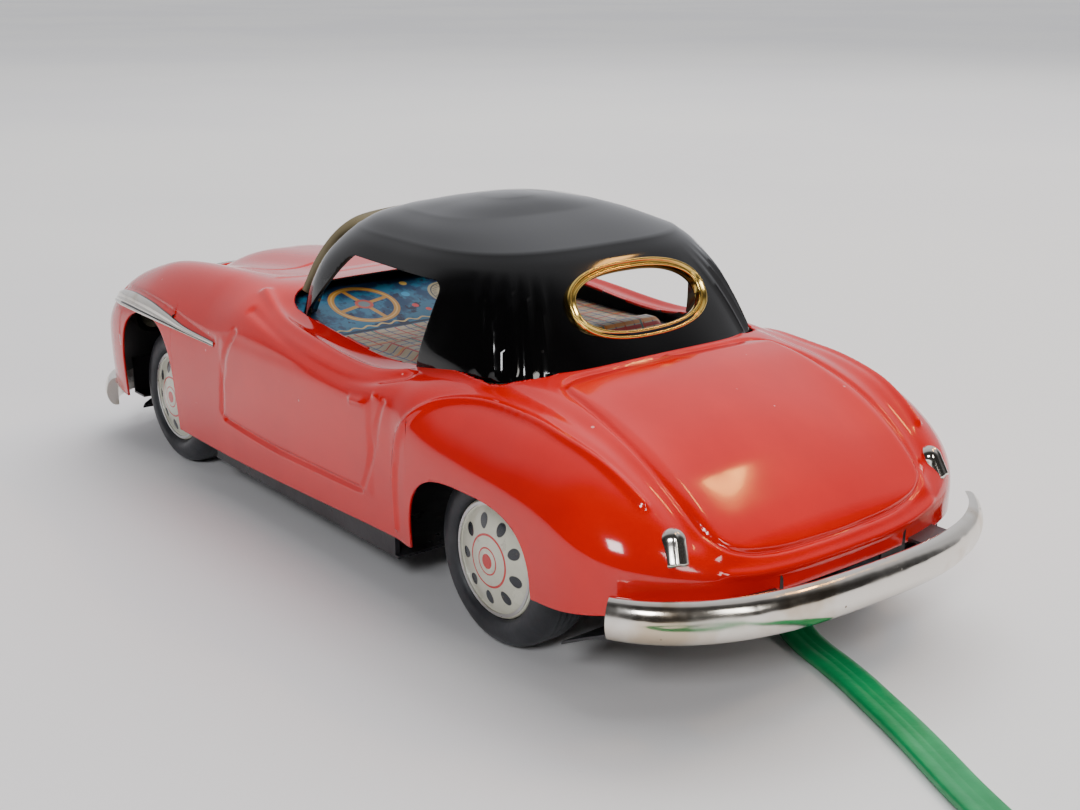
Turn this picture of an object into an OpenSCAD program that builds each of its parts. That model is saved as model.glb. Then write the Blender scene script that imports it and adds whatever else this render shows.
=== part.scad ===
// Tinplate roadster toy with a hard top, a geared electric drive and a trailing control cable.
// X points forward, Y to the left, Z up. The origin is on the ground under the middle of the car.

/* [Overall] */
// Length over both bumpers
overall_length = 214; // [212:1:216]
// Distance between the two axles
wheelbase = 120; // [119:1:121]
// Widest half-width of the pressed body
body_half_width = 43; // [42.5:0.1:43.5]
// Thickness of the tinplate
tin = 0.5; // [0.4:0.05:0.6]

/* [Wheels] */
// Outer radius of the tyres
tyre_radius = 15.4; // [15:0.1:15.6]
// Width of the tyres
tyre_width = 10.6; // [10:0.1:10.8]
// Radius of the cream wheel discs
disc_radius = 10.2; // [9.8:0.1:10.4]
// How far the wheel disc domes out of its rim
disc_dome = 2.1; // [1.5:0.1:2.5]
// Distance from the middle of the car to the outer wall of a tyre
tyre_outer_y = 38.2; // [38:0.1:38.4]
// Radius of both axle rods
axle_radius = 1.25; // [1.2:0.01:1.3]

/* [Drive] */
// Radial clearance of every shaft in its hole
running_gap = 0.05; // [0.03:0.01:0.08]

/* [Cable] */
// Width of the flat control cable
cable_width = 6.2; // [6:0.1:6.4]
// Thickness of the flat control cable
cable_thickness = 1.8; // [1.6:0.1:2]
// Radius of the coil at the middle of its turns
coil_radius = 34; // [33:0.5:35]

/* [Hidden] */
$fn = 48;
eps = 0.01;

axle_shift = 4.5;                     // the axles sit this far forward of the middle of the car
rear_axle_x = axle_shift - wheelbase / 2;
front_axle_x = axle_shift + wheelbase / 2;
axle_z = tyre_radius;
plate_z = 7;                          // underside of the base plate
rivet_head = 3;                       // the steering rivet's lower head, flush in the base plate

// ---- Smooth curves through a few hand-placed stations ----
function seg(p, x, i = 0) = i >= len(p) - 2 || x <= p[i + 1][0] ? i : seg(p, x, i + 1);
function slope(p, i) =
    let (a = max(i - 1, 0), b = min(i + 1, len(p) - 1)) (p[b][1] - p[a][1]) / (p[b][0] - p[a][0]);
function curve(p, x) =
    let (xc = min(max(x, p[0][0]), p[len(p) - 1][0]), i = seg(p, xc),
        h = p[i + 1][0] - p[i][0], t = (xc - p[i][0]) / h)
    p[i][1] * (1 + 2 * t) * (1 - t) * (1 - t) + h * slope(p, i) * t * (1 - t) * (1 - t)
    + p[i + 1][1] * t * t * (3 - 2 * t) - h * slope(p, i + 1) * t * t * (1 - t);
function spow(v, n) = sign(v) * pow(abs(v), n);

// ---- The pressed body: stations along its length, as [X, value] ----
deck_height = [[-98.5, 27.5], [-90, 33], [-80, 37.4], [-70, 40.8], [-62, 43], [-50, 44.9], [-20, 45.2],
    [10, 46.5], [24, 46.8], [45, 44.8], [57, 43.4], [72, 41.4], [88, 38.6], [96, 37], [103, 35.3]];
fender_rise = [[-98.5, 1.5], [-88, 3.2], [-79, 3.4], [-70, 2.6], [-60, 1.6], [-42, 0.1], [-20, -3.9],
    [0, -3.6], [17, -2.2], [30, 1.4], [45, 5.2], [68, 6.4], [82, 5.5], [96, 4.8], [103, 4.6]];
hood_bulge = [[38, 0], [50, 1.6], [66, 2.4], [82, 2.9], [92, 2.4], [97, 0.6], [103, 0]];
bulge_width = 11;
shoulder_power = [[-98.5, 2.6], [-75, 3], [-45, 3.1], [-25, 5.5], [15, 5.5], [40, 3.4], [70, 3.2], [103, 3]];
widest_height = [[-98.5, 20], [-88, 22], [-75, 25], [-60, 26.5], [-30, 28], [70, 28], [88, 25], [103, 22]];
side_width = [[-98.5, -0.2], [-75, 0], [-50, 0.2], [-38, 0], [-32, -0.8], [0, -1.1], [35, -0.8],
    [60, 0], [80, -0.3], [90, -0.9], [103, -1.6]];
sill_height = [[-98.5, 19.6], [-90, 18.6], [-79, 16.2], [-71, 15.6], [-39, 13.2], [-30, 12.8], [0, 11.4],
    [30, 10.6], [52, 11.2], [82, 12.5], [103, 14]];
tail_x = -75;                         // where the rear corner begins
tail_reach = 23.5;
nose_x = 77;                          // where the front corner begins
nose_reach = 26;
tail_power = 2.64;
nose_power = 3.8;
wall_tuck = 1.4;                      // how far the sill tucks in under the widest line
arch_base = 14;
arch_power = 3;
rear_arch = [0.3, 16.9, 14.4];        // centre from the axle, half-width, height over arch_base
front_arch = [2.7, 13.9, 20.5];

function width_at(x) =
    let (d = x < tail_x ? (tail_x - x) / tail_reach : x > nose_x ? (x - nose_x) / nose_reach : 0,
        n = x < 0 ? tail_power : nose_power)
    (body_half_width + curve(side_width, x)) * pow(max(1 - pow(d, n), 0), 1 / n);
function arch_at(x, axle_x, arch) =
    let (d = abs(x - axle_x - arch[0]) / arch[1])
    d >= 1 ? 0 : arch_base + arch[2] * pow(1 - pow(d, arch_power), 1 / arch_power);
function edge_height(x) =
    max(curve(sill_height, x), arch_at(x, rear_axle_x, rear_arch), arch_at(x, front_axle_x, front_arch));
function spine_x(x) = x < -50 ? -50 + (x + 50) * 16 / 48.5 : x > 50 ? 50 + (x - 50) * 20 / 53 : x;
function top_height(x, y) =
    curve(deck_height, x) + curve(fender_rise, x) * exp(-pow((abs(y) - 34) / 9, 2))
    + curve(hood_bulge, x) * exp(-pow(y / bulge_width, 4));
// A point of the body: x names the rib, t runs 0 at the spine, 1 at the widest line, 2 at the sill
function body_point(x, t, inset) =
    let (yo = max(width_at(x) - inset, 0.4),
        xo = x < tail_x ? x + inset : x > nose_x ? x - inset : x,
        k = curve(shoulder_power, x), zw = curve(widest_height, x),
        r = t < 1 ? pow(sin(90 * t), 2 / k) : 1 - wall_tuck * (t - 1) * (t - 1) / body_half_width,
        px = spine_x(x) + (xo - spine_x(x)) * r, py = yo * r,
        top = top_height(px, py) - inset)
    [px, py, t < 1 ? zw + (top - zw) * pow(cos(90 * t), 2 / k) : zw - (t - 1) * (zw - 5)];
// The t at which a rib passes a given height
function t_at(x, z, lo = 0.02, hi = 2, n = 22) =
    n == 0 ? (lo + hi) / 2 :
    let (m = (lo + hi) / 2) body_point(x, m, 0)[2] > z ? t_at(x, z, m, hi, n - 1) : t_at(x, z, lo, m, n - 1);

// ---- Rib stations: round the tail, along the side with the arches followed, round the nose ----
function arch_steps(axle_x, arch) =
    [for (a = [180 : -18 : 0]) axle_x + arch[0] + arch[1] * spow(cos(a), 2 / arch_power)];
ribs = concat(
    [for (a = [6 : 12 : 78]) tail_x - tail_reach * pow(cos(a), 2 / tail_power)], [tail_x],
    [rear_axle_x + rear_arch[0] - rear_arch[1] - 0.4], arch_steps(rear_axle_x, rear_arch),
    [rear_axle_x + rear_arch[0] + rear_arch[1] + 0.4], [for (x = [-33 : 9.5 : 43]) x],
    [front_axle_x + front_arch[0] - front_arch[1] - 0.4], arch_steps(front_axle_x, front_arch),
    [front_axle_x + front_arch[0] + front_arch[1] + 0.4],
    [for (a = [66 : -12 : 6]) nose_x + nose_reach * pow(cos(a), 2 / nose_power)]);
rows = [0, 0.16, 0.3, 0.42, 0.52, 0.62];
lower_rows = 6;
function rib_rows(x) =
    let (t_end = t_at(x, edge_height(x)))
    concat(rows, [for (j = [1 : lower_rows]) rows[5] + (t_end - rows[5]) * j / lower_rows]);
rib_count = len(ribs);
half_rows = len(rows) + lower_rows;
row_count = 2 * half_rows - 1;
// One rib from the left sill over the spine to the right sill
function rib_points(x, inset) =
    let (ts = rib_rows(x))
    [for (j = [0 : row_count - 1])
        let (i = abs(j - half_rows + 1), s = j < half_rows - 1 ? 1 : -1, p = body_point(x, ts[i], inset))
        i == 0 ? [p[0], 0, p[2]] : [p[0], s * p[1], p[2]]];

// Faces of a grid of rings, each quad as two triangles
function quad(a, b, c, d, flip) = flip ? [[a, c, b], [a, d, c]] : [[a, b, c], [a, c, d]];
function flat_list(list) = [for (group = list) for (face = group) face];
function grid_faces(n, m, start, flip) = flat_list([for (i = [0 : n - 2]) for (j = [0 : m - 2])
    quad(start + i * m + j, start + (i + 1) * m + j, start + (i + 1) * m + j + 1, start + i * m + j + 1, flip)]);
// Closes the narrow strip between the left and right half of an end rib
function end_faces(i, m, start, flip) =
    let (c = (m - 1) / 2, b = start + i * m)
    concat(flat_list([for (j = [0 : c - 2]) quad(b + j, b + j + 1, b + m - 2 - j, b + m - 1 - j, flip)]),
        [flip ? [b + c - 1, b + c + 1, b + c] : [b + c - 1, b + c, b + c + 1]]);

module body_skin() {
    m = row_count;
    n = rib_count;
    half = n * m;
    points = concat([for (x = ribs) each rib_points(x, 0)], [for (x = ribs) each rib_points(x, tin)]);
    rim_left = flat_list([for (i = [0 : n - 2]) quad(i * m, half + i * m, half + (i + 1) * m, (i + 1) * m, false)]);
    rim_right = flat_list([for (i = [0 : n - 2])
        quad(i * m + m - 1, half + i * m + m - 1, half + (i + 1) * m + m - 1, (i + 1) * m + m - 1, true)]);
    rim_tail = quad(0, half, half + m - 1, m - 1, true);
    e = (n - 1) * m;
    rim_nose = quad(e, half + e, half + e + m - 1, e + m - 1, false);
    polyhedron(points, concat(grid_faces(n, m, 0, false), grid_faces(n, m, half, true),
        end_faces(0, m, 0, false), end_faces(0, m, half, true),
        end_faces(n - 1, m, 0, true), end_faces(n - 1, m, half, false),
        rim_left, rim_right, rim_tail, rim_nose));
}

// ---- The roof: level loops, as [Z, rear X, front X, half-width, rear roundness, front roundness] ----
roof_levels = [[42.3, -56.4, 21, 33.2, 3.6, 7], [45, -54.6, 19.8, 32.9, 3.6, 7], [50, -51, 17.6, 32, 3.6, 7],
    [55, -47, 15, 30.9, 3.5, 6], [59, -43.3, 13, 28.8, 3.4, 4.6], [61.3, -40.2, 11.6, 26.6, 3.3, 4],
    [63.3, -31, 8.4, 23, 3.1, 3.8], [64.8, -23.5, 4.4, 18.5, 3, 3.2], [66, -19, -0.7, 12, 2.6, 2.6],
    [66.8, -15, -6, 5, 2.2, 2.2]];
roof_apex = [-11, 0, 67];
roof_steps = 44;
roof_tin = 0.7;
function roof_ring(l, inset) =
    let (a = (l[2] - l[1]) / 2 - inset, c = (l[2] + l[1]) / 2)
    [for (i = [0 : roof_steps - 1])
        let (w = 360 * i / roof_steps, n = cos(w) < 0 ? l[4] : l[5])
        [c + a * spow(cos(w), 2 / n), (l[3] - inset) * spow(sin(w), 2 / n), l[0] - inset]];
function tube_faces(n, m, start, flip) = flat_list([for (i = [0 : n - 2]) for (j = [0 : m - 1])
    quad(start + i * m + j, start + i * m + (j + 1) % m,
        start + (i + 1) * m + (j + 1) % m, start + (i + 1) * m + j, flip)]);
function fan_faces(m, start, apex, flip) =
    [for (j = [0 : m - 1]) flip ? [start + (j + 1) % m, start + j, apex] : [start + j, start + (j + 1) % m, apex]];

module roof_skin() {
    m = roof_steps;
    n = len(roof_levels);
    half = n * m + 1;
    outer = concat([for (l = roof_levels) each roof_ring(l, 0)], [roof_apex]);
    inner = concat([for (l = roof_levels) each roof_ring([max(l[0], 43), l[1], l[2], l[3], l[4], l[5]], roof_tin)],
        [roof_apex - [0, 0, roof_tin]]);
    polyhedron(concat(outer, inner), concat(
        tube_faces(n, m, 0, true), fan_faces(m, (n - 1) * m, n * m, true),
        tube_faces(n, m, half, false), fan_faces(m, half + (n - 1) * m, half + n * m, false),
        flat_list([for (j = [0 : m - 1]) quad(j, (j + 1) % m, half + (j + 1) % m, half + j, false)])));
}

// ---- Small shared shapes ----
module along_y(y0, y1) translate([0, y1, 0]) rotate([90, 0, 0]) linear_extrude(y1 - y0) children();
module rod_y(x, z, r, y0, y1, fn = 40) translate([x, y1, z]) rotate([90, 0, 0]) cylinder(r = r, h = y1 - y0, $fn = fn);
module rounded_plate(w, h, r) {
    square([w - 2 * r, h], center = true);
    square([w, h - 2 * r], center = true);
    for (sx = [-1, 1]) for (sy = [-1, 1]) translate([sx * (w / 2 - r), sy * (h / 2 - r)]) circle(r);
}
module rounded_box(l, w, h, r) linear_extrude(h) rounded_plate(l, w, r);
function super_loop(a, b, n, steps) = [for (i = [0 : steps - 1])
    let (w = 360 * i / steps) [a * spow(cos(w), 2 / n), b * spow(sin(w), 2 / n)]];

// ---- Body and trim ----
module body_shell() color("red") difference() {
    body_skin();
    // The cabin opening under the roof
    translate([-16.5, 0, 34]) linear_extrude(20) rounded_plate(73, 62, 10);
}

module side_window() polygon([[13.5, 40], [12.4, 44], [-1.6, 57], [-27.6, 55.6], [-28.4, 54.6], [-23.6, 40]]);
screen_tilt = 25;                     // how far the windshield leans back from upright
screen_foot = [21, 0, 46];
module screen_frame_place() translate(screen_foot) rotate([0, -screen_tilt, 0]) rotate([90, 0, 90]) children();
window_centre = [-48.6, 0, 52.9];
window_tilt = 33;
module rear_window_place() translate(window_centre) rotate([0, window_tilt, 0]) rotate([90, 0, 90]) children();

module roof_shell() color("black") difference() {
    roof_skin();
    along_y(-40, 40) side_window();
    screen_frame_place() translate([0, 0, -9]) linear_extrude(14)
        polygon([[-26, 0], [26, 0], [22.6, 14.6], [-22.6, 14.6]]);
    rear_window_place() translate([0, 0, -6]) linear_extrude(12) polygon(super_loop(13.6, 5.2, 2.5, 40));
}

module rear_window_rim() color("goldenrod") rear_window_place() translate([0, 0, -1.4]) linear_extrude(1.9)
    difference() {
        polygon(super_loop(15.3, 6.7, 2.5, 48));
        polygon(super_loop(13.3, 4.9, 2.5, 48));
    }

module windshield_frame() color("peru") screen_frame_place() translate([0, 0, -1.2]) linear_extrude(1)
    difference() {
        polygon([[-27, -1.8], [27, -1.8], [24.2, 12.6], [20.5, 16.4], [-20.5, 16.4], [-24.2, 12.6]]);
        polygon([[-24.6, 0.4], [24.6, 0.4], [22, 12], [19.4, 14.4], [-19.4, 14.4], [-22, 12]]);
    }

// The base plate: a bent strip cut to the car's outline, with room for the wheels
module base_outline() difference() {
    polygon(concat(
        [for (a = [90 : -7.5 : -90]) [74 + 25 * pow(cos(a), 2 / 2.6), 39 * spow(sin(a), 2 / 2.6)]],
        [for (a = [-90 : -7.5 : -270]) [-74 - 25.5 * pow(abs(cos(a)), 2 / 2.6), 39 * spow(sin(a), 2 / 2.6)]]));
    for (s = [-1, 1]) {
        translate([rear_axle_x + 3.5, s * 34]) square([46, 18], center = true);
        translate([front_axle_x, s * 34]) square([44, 22], center = true);
    }
}
bent_profile = [[-104, 16.5], [-92, 15.7], [-80, 10.5], [-73, plate_z], [104, plate_z]];
module base_plate() color("black") union() {
    difference() {
        intersection() {
            along_y(-50, 50) polygon(concat(bent_profile, [for (i = [len(bent_profile) - 1 : -1 : 0])
                bent_profile[i] + [0, tin]]));
            linear_extrude(30) base_outline();
        }
        translate([front_axle_x, 0, 0]) cylinder(r = rivet_head, h = 20);
        translate([-78, -6, 0]) rotate([0, 0, -20]) rounded_box(4.6, 8.6, 20, 1.5);
    }
    // Rolled side lips between the wheels
    for (s = [-1, 1]) translate([-28, s * 38.5 - 0.5, plate_z]) cube([70, 1, 5]);
}

// The printed interior: a flat floor that slopes up into the dashboard
tray_profile = [[-46, 38.5], [9, 38.5], [28, 44.7], [29.5, 44.7]];
module interior_tray() color("steelblue") along_y(-31.4, 31.4)
    polygon(concat(tray_profile, [for (i = [len(tray_profile) - 1 : -1 : 0]) tray_profile[i] - [0, tin]]));

module seat_pressing() color("wheat") for (s = [-1, 1]) {
    translate([-27, s * 14, 38.5]) linear_extrude(4) rounded_plate(6, 22, 2.6);
    translate([-12, s * 14, 38.5]) linear_extrude(1.4) rounded_plate(19, 22, 4);
}

// ---- Bumpers: one section swept round a superellipse ----
bumper_half_width = 46.2;
rear_bumper_power = 2.64;
front_bumper_power = 3.8;
rear_bumper_sweep = 60;               // angle of the loop's parameter at each end
front_bumper_sweep = 78;
bumper_steps = 40;
// Section as [outward, up], a shallow C with a rounded face
bumper_section = [[-1.4, 3.3], [-0.3, 3.2], [0.9, 1.9], [1.3, 0], [0.9, -1.9], [-0.3, -3.2], [-1.4, -3.3],
    [-0.6, -1.8], [-0.2, 0], [-0.6, 1.8]];
function bumper_centre(w, a, b, n) = [a * spow(cos(w), 2 / n), b * spow(sin(w), 2 / n)];
function unit(v) = v / norm(v);
function bumper_ring(w, a, b, z, power) =
    let (p = bumper_centre(w, a, b, power),
        q0 = bumper_centre(w - 0.5, a, b, power), q1 = bumper_centre(w + 0.5, a, b, power),
        d = unit(q1 - q0), n = [d[1], -d[0]])
    [for (s = bumper_section) [p[0] + n[0] * s[0], p[1] + n[1] * s[0], z + s[1]]];
module bumper_bar(a, b, z, power, sweep) {
    m = len(bumper_section);
    n = bumper_steps + 1;
    points = [for (i = [0 : bumper_steps])
        each bumper_ring(sweep * (2 * i / bumper_steps - 1) + 0.01, a, b, z, power)];
    cap = [[0, 1, 9], [1, 2, 9], [2, 3, 9], [3, 8, 9], [3, 4, 8], [4, 7, 8], [4, 5, 7], [5, 6, 7]];
    e = bumper_steps * m;
    polyhedron(points, concat(tube_faces(n, m, 0, true), [for (f = cap) [f[0], f[1], f[2]]],
        [for (f = cap) [e + f[2], e + f[1], e + f[0]]]));
}
bumper_reach = 31.5;
bumper_x = overall_length / 2 - 1.3 - bumper_reach;
rear_bumper_z = 20.2;
front_bumper_z = 11.2;
module rear_bumper() color("silver") mirror([1, 0, 0]) translate([bumper_x, 0, 0])
    bumper_bar(bumper_reach, bumper_half_width - 1.3, rear_bumper_z, rear_bumper_power, rear_bumper_sweep);
module front_bumper() color("silver") translate([bumper_x, 0, 0])
    bumper_bar(bumper_reach, bumper_half_width - 2.8, front_bumper_z, front_bumper_power, front_bumper_sweep);

// Bumper straps: flat strips from the base plate to the back of each bumper
module bumper_straps() color("dimgray") for (s = [-1, 1]) {
    translate([-103.4, s * 20 - 4, 18.6]) cube([8, 8, 0.6]);
    translate([-96, s * 20 - 4, 16.4]) cube([0.6, 8, 2.8]);
    translate([95, s * 20 - 4, 7.4]) cube([9.2, 8, 0.9]);
}

// ---- Lights ----
module tail_light(s) color("silver") translate([-91, s * 30.8, 27.6]) rotate([0, 0, -s * 26])
    rotate([0, -24, 0]) rotate([90, 0, -90]) translate([0, 0, -2.2]) hull() {
        linear_extrude(3.2) translate([-2.5, -3.3]) square([5, 4]);
        linear_extrude(3.2) translate([0, 1.2]) circle(2.5, $fn = 32);
        translate([0, 0, 3.2]) linear_extrude(1.2) translate([-1.4, -2.8]) square([2.8, 4.6]);
    }
module tail_light_left() tail_light(1);
module tail_light_right() tail_light(-1);

lamp_at = [97, 27.5, 29.6];
lamp_lean = 22;                       // how far each lamp looks up
lamp_splay = 10;                      // how far each lamp looks outward
module lamp_place(s) translate([lamp_at[0], s * lamp_at[1], lamp_at[2]])
    rotate([0, 0, s * lamp_splay]) rotate([0, 90 - lamp_lean, 0]) children();
module headlight_ring(s) color("silver") lamp_place(s) rotate_extrude($fn = 48)
    polygon([[5, -3], [6.6, -3], [6.6, 1.2], [6.1, 2], [5.6, 2.2], [5, 1.6]]);
module headlight_ring_left() headlight_ring(1);
module headlight_ring_right() headlight_ring(-1);
module headlight_lens(s) color("lightyellow") lamp_place(s) rotate_extrude($fn = 48)
    polygon(concat([[0, 0.2], [5, 0.2]], [for (a = [0 : 15 : 90]) [5 * cos(a), 0.9 + 2.3 * sin(a)]]));
module headlight_lens_left() headlight_lens(1);
module headlight_lens_right() headlight_lens(-1);

grille_x = 102;
module grille_place() translate([grille_x, 0, 27.5]) rotate([90, 0, 90]) children();
module grille_frame() color("silver") grille_place() linear_extrude(2.4) difference() {
    polygon(super_loop(19, 8.4, 2.8, 48));
    polygon(super_loop(17.4, 7, 2.8, 48));
}
module grille_mesh() color("gray") grille_place() translate([0, 0, 0.4]) linear_extrude(1) union() {
    for (i = [-4 : 4]) translate([i * 3.6 - 0.3, -7 * sqrt(1 - pow(i / 5.2, 2))])
        square([0.6, 14 * sqrt(1 - pow(i / 5.2, 2))]);
    translate([-17.4, -0.8]) square([34.8, 1.6]);
}

// A chrome flash pressed on the front fender, following the body's side
flash_top = [[34, 34.9], [47, 35.4], [56.5, 36.7], [66.5, 37.6], [77.3, 37.5], [87, 36]];
flash_low = [[34, 34], [52, 34.3], [72.5, 34.2], [87, 33.6]];
flash_steps = 14;
function side_point(x, z, s, out) = let (p = body_point(x, t_at(x, z), -out)) [p[0], s * p[1], z];
module fender_flash(s) color("silver") {
    xs = [for (i = [0 : flash_steps]) 34 + 53 * i / flash_steps];
    points = [for (x = xs) each [
        side_point(x, curve(flash_low, x), s, 0.05), side_point(x, curve(flash_low, x), s, 0.7),
        side_point(x, curve(flash_top, x), s, 0.7), side_point(x, curve(flash_top, x), s, 0.05)]];
    e = flash_steps * 4;
    flip = s > 0;
    polyhedron(points, concat(tube_faces(flash_steps + 1, 4, 0, flip),
        quad(0, 1, 2, 3, !flip), quad(e, e + 1, e + 2, e + 3, flip)));
}
module fender_flash_left() fender_flash(1);
module fender_flash_right() fender_flash(-1);

// Tabs of the body folded under the base plate
module body_tabs() color("red") for (s = [-1, 1]) {
    translate([-98, s * 12 - 3, 15.2]) cube([4.5, 6, 0.5]);
    translate([-98, s * 12 - 3, 15.4]) cube([0.5, 6, 5.6]);
    translate([93.5, s * 30 - 3, 7.4]) cube([5.6, 6, 0.5]);
    translate([98.6, s * 30 - 3, 7.4]) cube([0.5, 6, 9]);
}

// ---- Drive ----
// Involute gear: points of one tooth, from root to tip and back
function involute(rb, a) = rb * [cos(a) + a * PI / 180 * sin(a), sin(a) - a * PI / 180 * cos(a)];
function inv_angle(rb, r) = r <= rb ? 0 : sqrt(r * r / (rb * rb) - 1) * 180 / PI;
gear_module = 0.5;
wheel_teeth = 26;                     // the axle gear and the big idler wheel
idler_teeth = 12;                     // the idler's pinion
pinion_teeth = 9;                     // the motor's pinion
pressure_angle = 20;
tooth_thinning = 5;                   // backlash, as a percentage of the tooth
function turn(p, a) = [p[0] * cos(a) - p[1] * sin(a), p[0] * sin(a) + p[1] * cos(a)];
function polar(p) = atan2(p[1], p[0]);
function tooth(n, m) =
    let (rp = n * m / 2, rb = rp * cos(pressure_angle), ra = rp + 0.8 * m, rf = rp - 1.15 * m,
        lift = polar(involute(rb, inv_angle(rb, rp))),
        half = 90 / n * (1 - tooth_thinning / 50) + lift,
        start = max(rb, rf), steps = 4,
        flank = [for (i = [0 : steps]) let (r = start + (ra - start) * i / steps)
            turn(involute(rb, inv_angle(rb, r)), -half)])
    concat([turn([rf, 0], -half * 1.0)], flank,
        [for (i = [steps : -1 : 0]) [flank[i][0], -flank[i][1]]], [turn([rf, 0], half * 1.0)]);
function gear_points(n, m, phase) =
    [for (k = [0 : n - 1]) each [for (p = tooth(n, m)) turn(p, 360 * k / n + phase)]];
module spur(x, z, n, phase, y0, y1, bore) translate([x, y1, z]) rotate([90, 0, 0]) linear_extrude(y1 - y0)
    difference() {
        polygon(gear_points(n, gear_module, phase));
        circle(bore, $fn = 40);
    }

idler_angle = 40;                     // direction from the rear axle to the idler
motor_angle = 5;                      // direction from the idler to the motor
axle_step = (wheel_teeth + idler_teeth) * gear_module / 2;
motor_step = (wheel_teeth + pinion_teeth) * gear_module / 2;
idler_x = rear_axle_x + axle_step * cos(idler_angle);
idler_z = axle_z + axle_step * sin(idler_angle);
motor_x = idler_x + motor_step * cos(motor_angle);
motor_z = idler_z + motor_step * sin(motor_angle);
plate_y = 12;                         // inner face of each gearbox plate
plate_t = 0.8;
can_radius = 9.5;
stud_radius = 1;
shaft_radius = 0.75;

module gearbox_side(y0, hole_motor) color("lightgray") difference() {
    along_y(y0, y0 + plate_t) difference() {
        polygon([[rear_axle_x - 5, plate_z + tin], [motor_x + 9, plate_z + tin], [motor_x + 9, motor_z + 5],
            [motor_x + 3, motor_z + 8.5], [idler_x - 3, motor_z + 8.5], [rear_axle_x - 5, axle_z + 5]]);
        translate([motor_x, motor_z]) circle(hole_motor, $fn = 40);
    }
    rod_y(rear_axle_x, axle_z, axle_radius + running_gap, y0 - 1, y0 + 2);
}
module gearbox_plate_left() gearbox_side(plate_y, 3.2);
module gearbox_plate_right() gearbox_side(-plate_y - plate_t, 4);
module gearbox_pillars() color("goldenrod") {
    rod_y(rear_axle_x + 1, axle_z - 5.5, 1.2, -plate_y, plate_y);
    rod_y(motor_x + 6, plate_z + 3, 1.2, -plate_y, plate_y);
    rod_y(idler_x - 2.5, motor_z + 6, 1.2, -plate_y, plate_y);
}
module idler_stud() color("silver") {
    rod_y(idler_x, idler_z, stud_radius, plate_y + plate_t, 18.8);
    rod_y(idler_x, idler_z, 1.8, 18.8, 19.3);
}
module motor_can() color("silver") difference() {
    rod_y(motor_x, motor_z, can_radius, -plate_y + 3, plate_y, 64);
    rod_y(motor_x, motor_z, can_radius - 0.6, -plate_y + 2, plate_y - 0.6, 64);
    rod_y(motor_x, motor_z, shaft_radius + running_gap, plate_y - 2, plate_y + 1);
}
module motor_magnets() color("dimgray") difference() {
    rod_y(motor_x, motor_z, can_radius - 0.6, -7, 9, 64);
    rod_y(motor_x, motor_z, can_radius - 2.4, -8, 10, 64);
    for (s = [-1, 1]) translate([motor_x + s * 8, 1, motor_z]) cube([9, 20, 7], center = true);
}
module motor_end_cap() color("white") difference() {
    rod_y(motor_x, motor_z, can_radius - 0.6, -plate_y, -plate_y + 4.6, 64);
    rod_y(motor_x, motor_z, can_radius - 2, -plate_y + 1.6, -plate_y + 5, 64);
    rod_y(motor_x, motor_z, shaft_radius + running_gap, -plate_y - 1, -plate_y + 6);
}
module motor_armature() color("sienna") difference() {
    union() {
        rod_y(motor_x, motor_z, 6.6, -5, 7, 48);
        rod_y(motor_x, motor_z, 2.4, -6.9, -4.9, 32);
    }
    for (a = [0, 120, 240]) translate([motor_x, 1, motor_z]) rotate([0, a, 0])
        translate([5.6, 0, 0]) cube([3.2, 13, 1.2], center = true);
    rod_y(motor_x, motor_z, shaft_radius, -8, 8);
}
module motor_shaft() color("silver") rod_y(motor_x, motor_z, shaft_radius, -plate_y - 1.4, 18.4);
module motor_pinion() color("goldenrod")
    spur(motor_x, motor_z, pinion_teeth, 180 + motor_angle + 180 / pinion_teeth, 15.8, 18, shaft_radius);
module idler_gear() color("ivory") {
    spur(idler_x, idler_z, wheel_teeth, motor_angle, 16, 17.6, stud_radius + running_gap);
    spur(idler_x, idler_z, idler_teeth, 180 + idler_angle + 180 / idler_teeth, 13.3, 16,
        stud_radius + running_gap);
}
module axle_gear() color("ivory")
    spur(rear_axle_x, axle_z, wheel_teeth, idler_angle, 13.4, 15.6, axle_radius);

// ---- Wheels ----
module rear_axle() color("silver") rod_y(rear_axle_x, axle_z, axle_radius, -37.4, 37.4);
module front_axle() color("silver") rod_y(front_axle_x, axle_z, axle_radius, -37.4, 37.4);
hub_radius = disc_radius - 0.4;
tyre_inner_y = tyre_outer_y - tyre_width;
module wheel_place(x, s) translate([x, 0, axle_z]) rotate([s > 0 ? -90 : 90, 0, 0]) children();
// Profiles run as [radius, distance from the middle of the car]
module tyre(x, s) color("dimgray") wheel_place(x, s) rotate_extrude($fn = 72)
    polygon([[hub_radius, tyre_inner_y + 0.4], [tyre_radius - 1.8, tyre_inner_y],
        [tyre_radius - 0.6, tyre_inner_y + 0.8], [tyre_radius, tyre_inner_y + 2.2],
        [tyre_radius, tyre_outer_y - 2.2], [tyre_radius - 0.6, tyre_outer_y - 0.8],
        [tyre_radius - 1.8, tyre_outer_y - 0.1], [disc_radius + 0.9, tyre_outer_y - 0.1],
        [disc_radius, tyre_outer_y - 0.6], [hub_radius, tyre_outer_y - 0.6]]);
module wheel_hub(x, s) color("silver") wheel_place(x, s) rotate_extrude($fn = 64)
    polygon([[axle_radius, tyre_inner_y - 0.4], [3, tyre_inner_y - 0.4], [3, tyre_inner_y + 1.4],
        [hub_radius - 0.6, tyre_inner_y + 1.4], [hub_radius, tyre_inner_y + 1], [hub_radius, tyre_outer_y - 0.6],
        [hub_radius - 0.5, tyre_outer_y - 0.6], [hub_radius - 0.5, tyre_inner_y + 2],
        [2.4, tyre_inner_y + 2], [2.4, tyre_inner_y + 6], [axle_radius, tyre_inner_y + 6]]);
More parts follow.
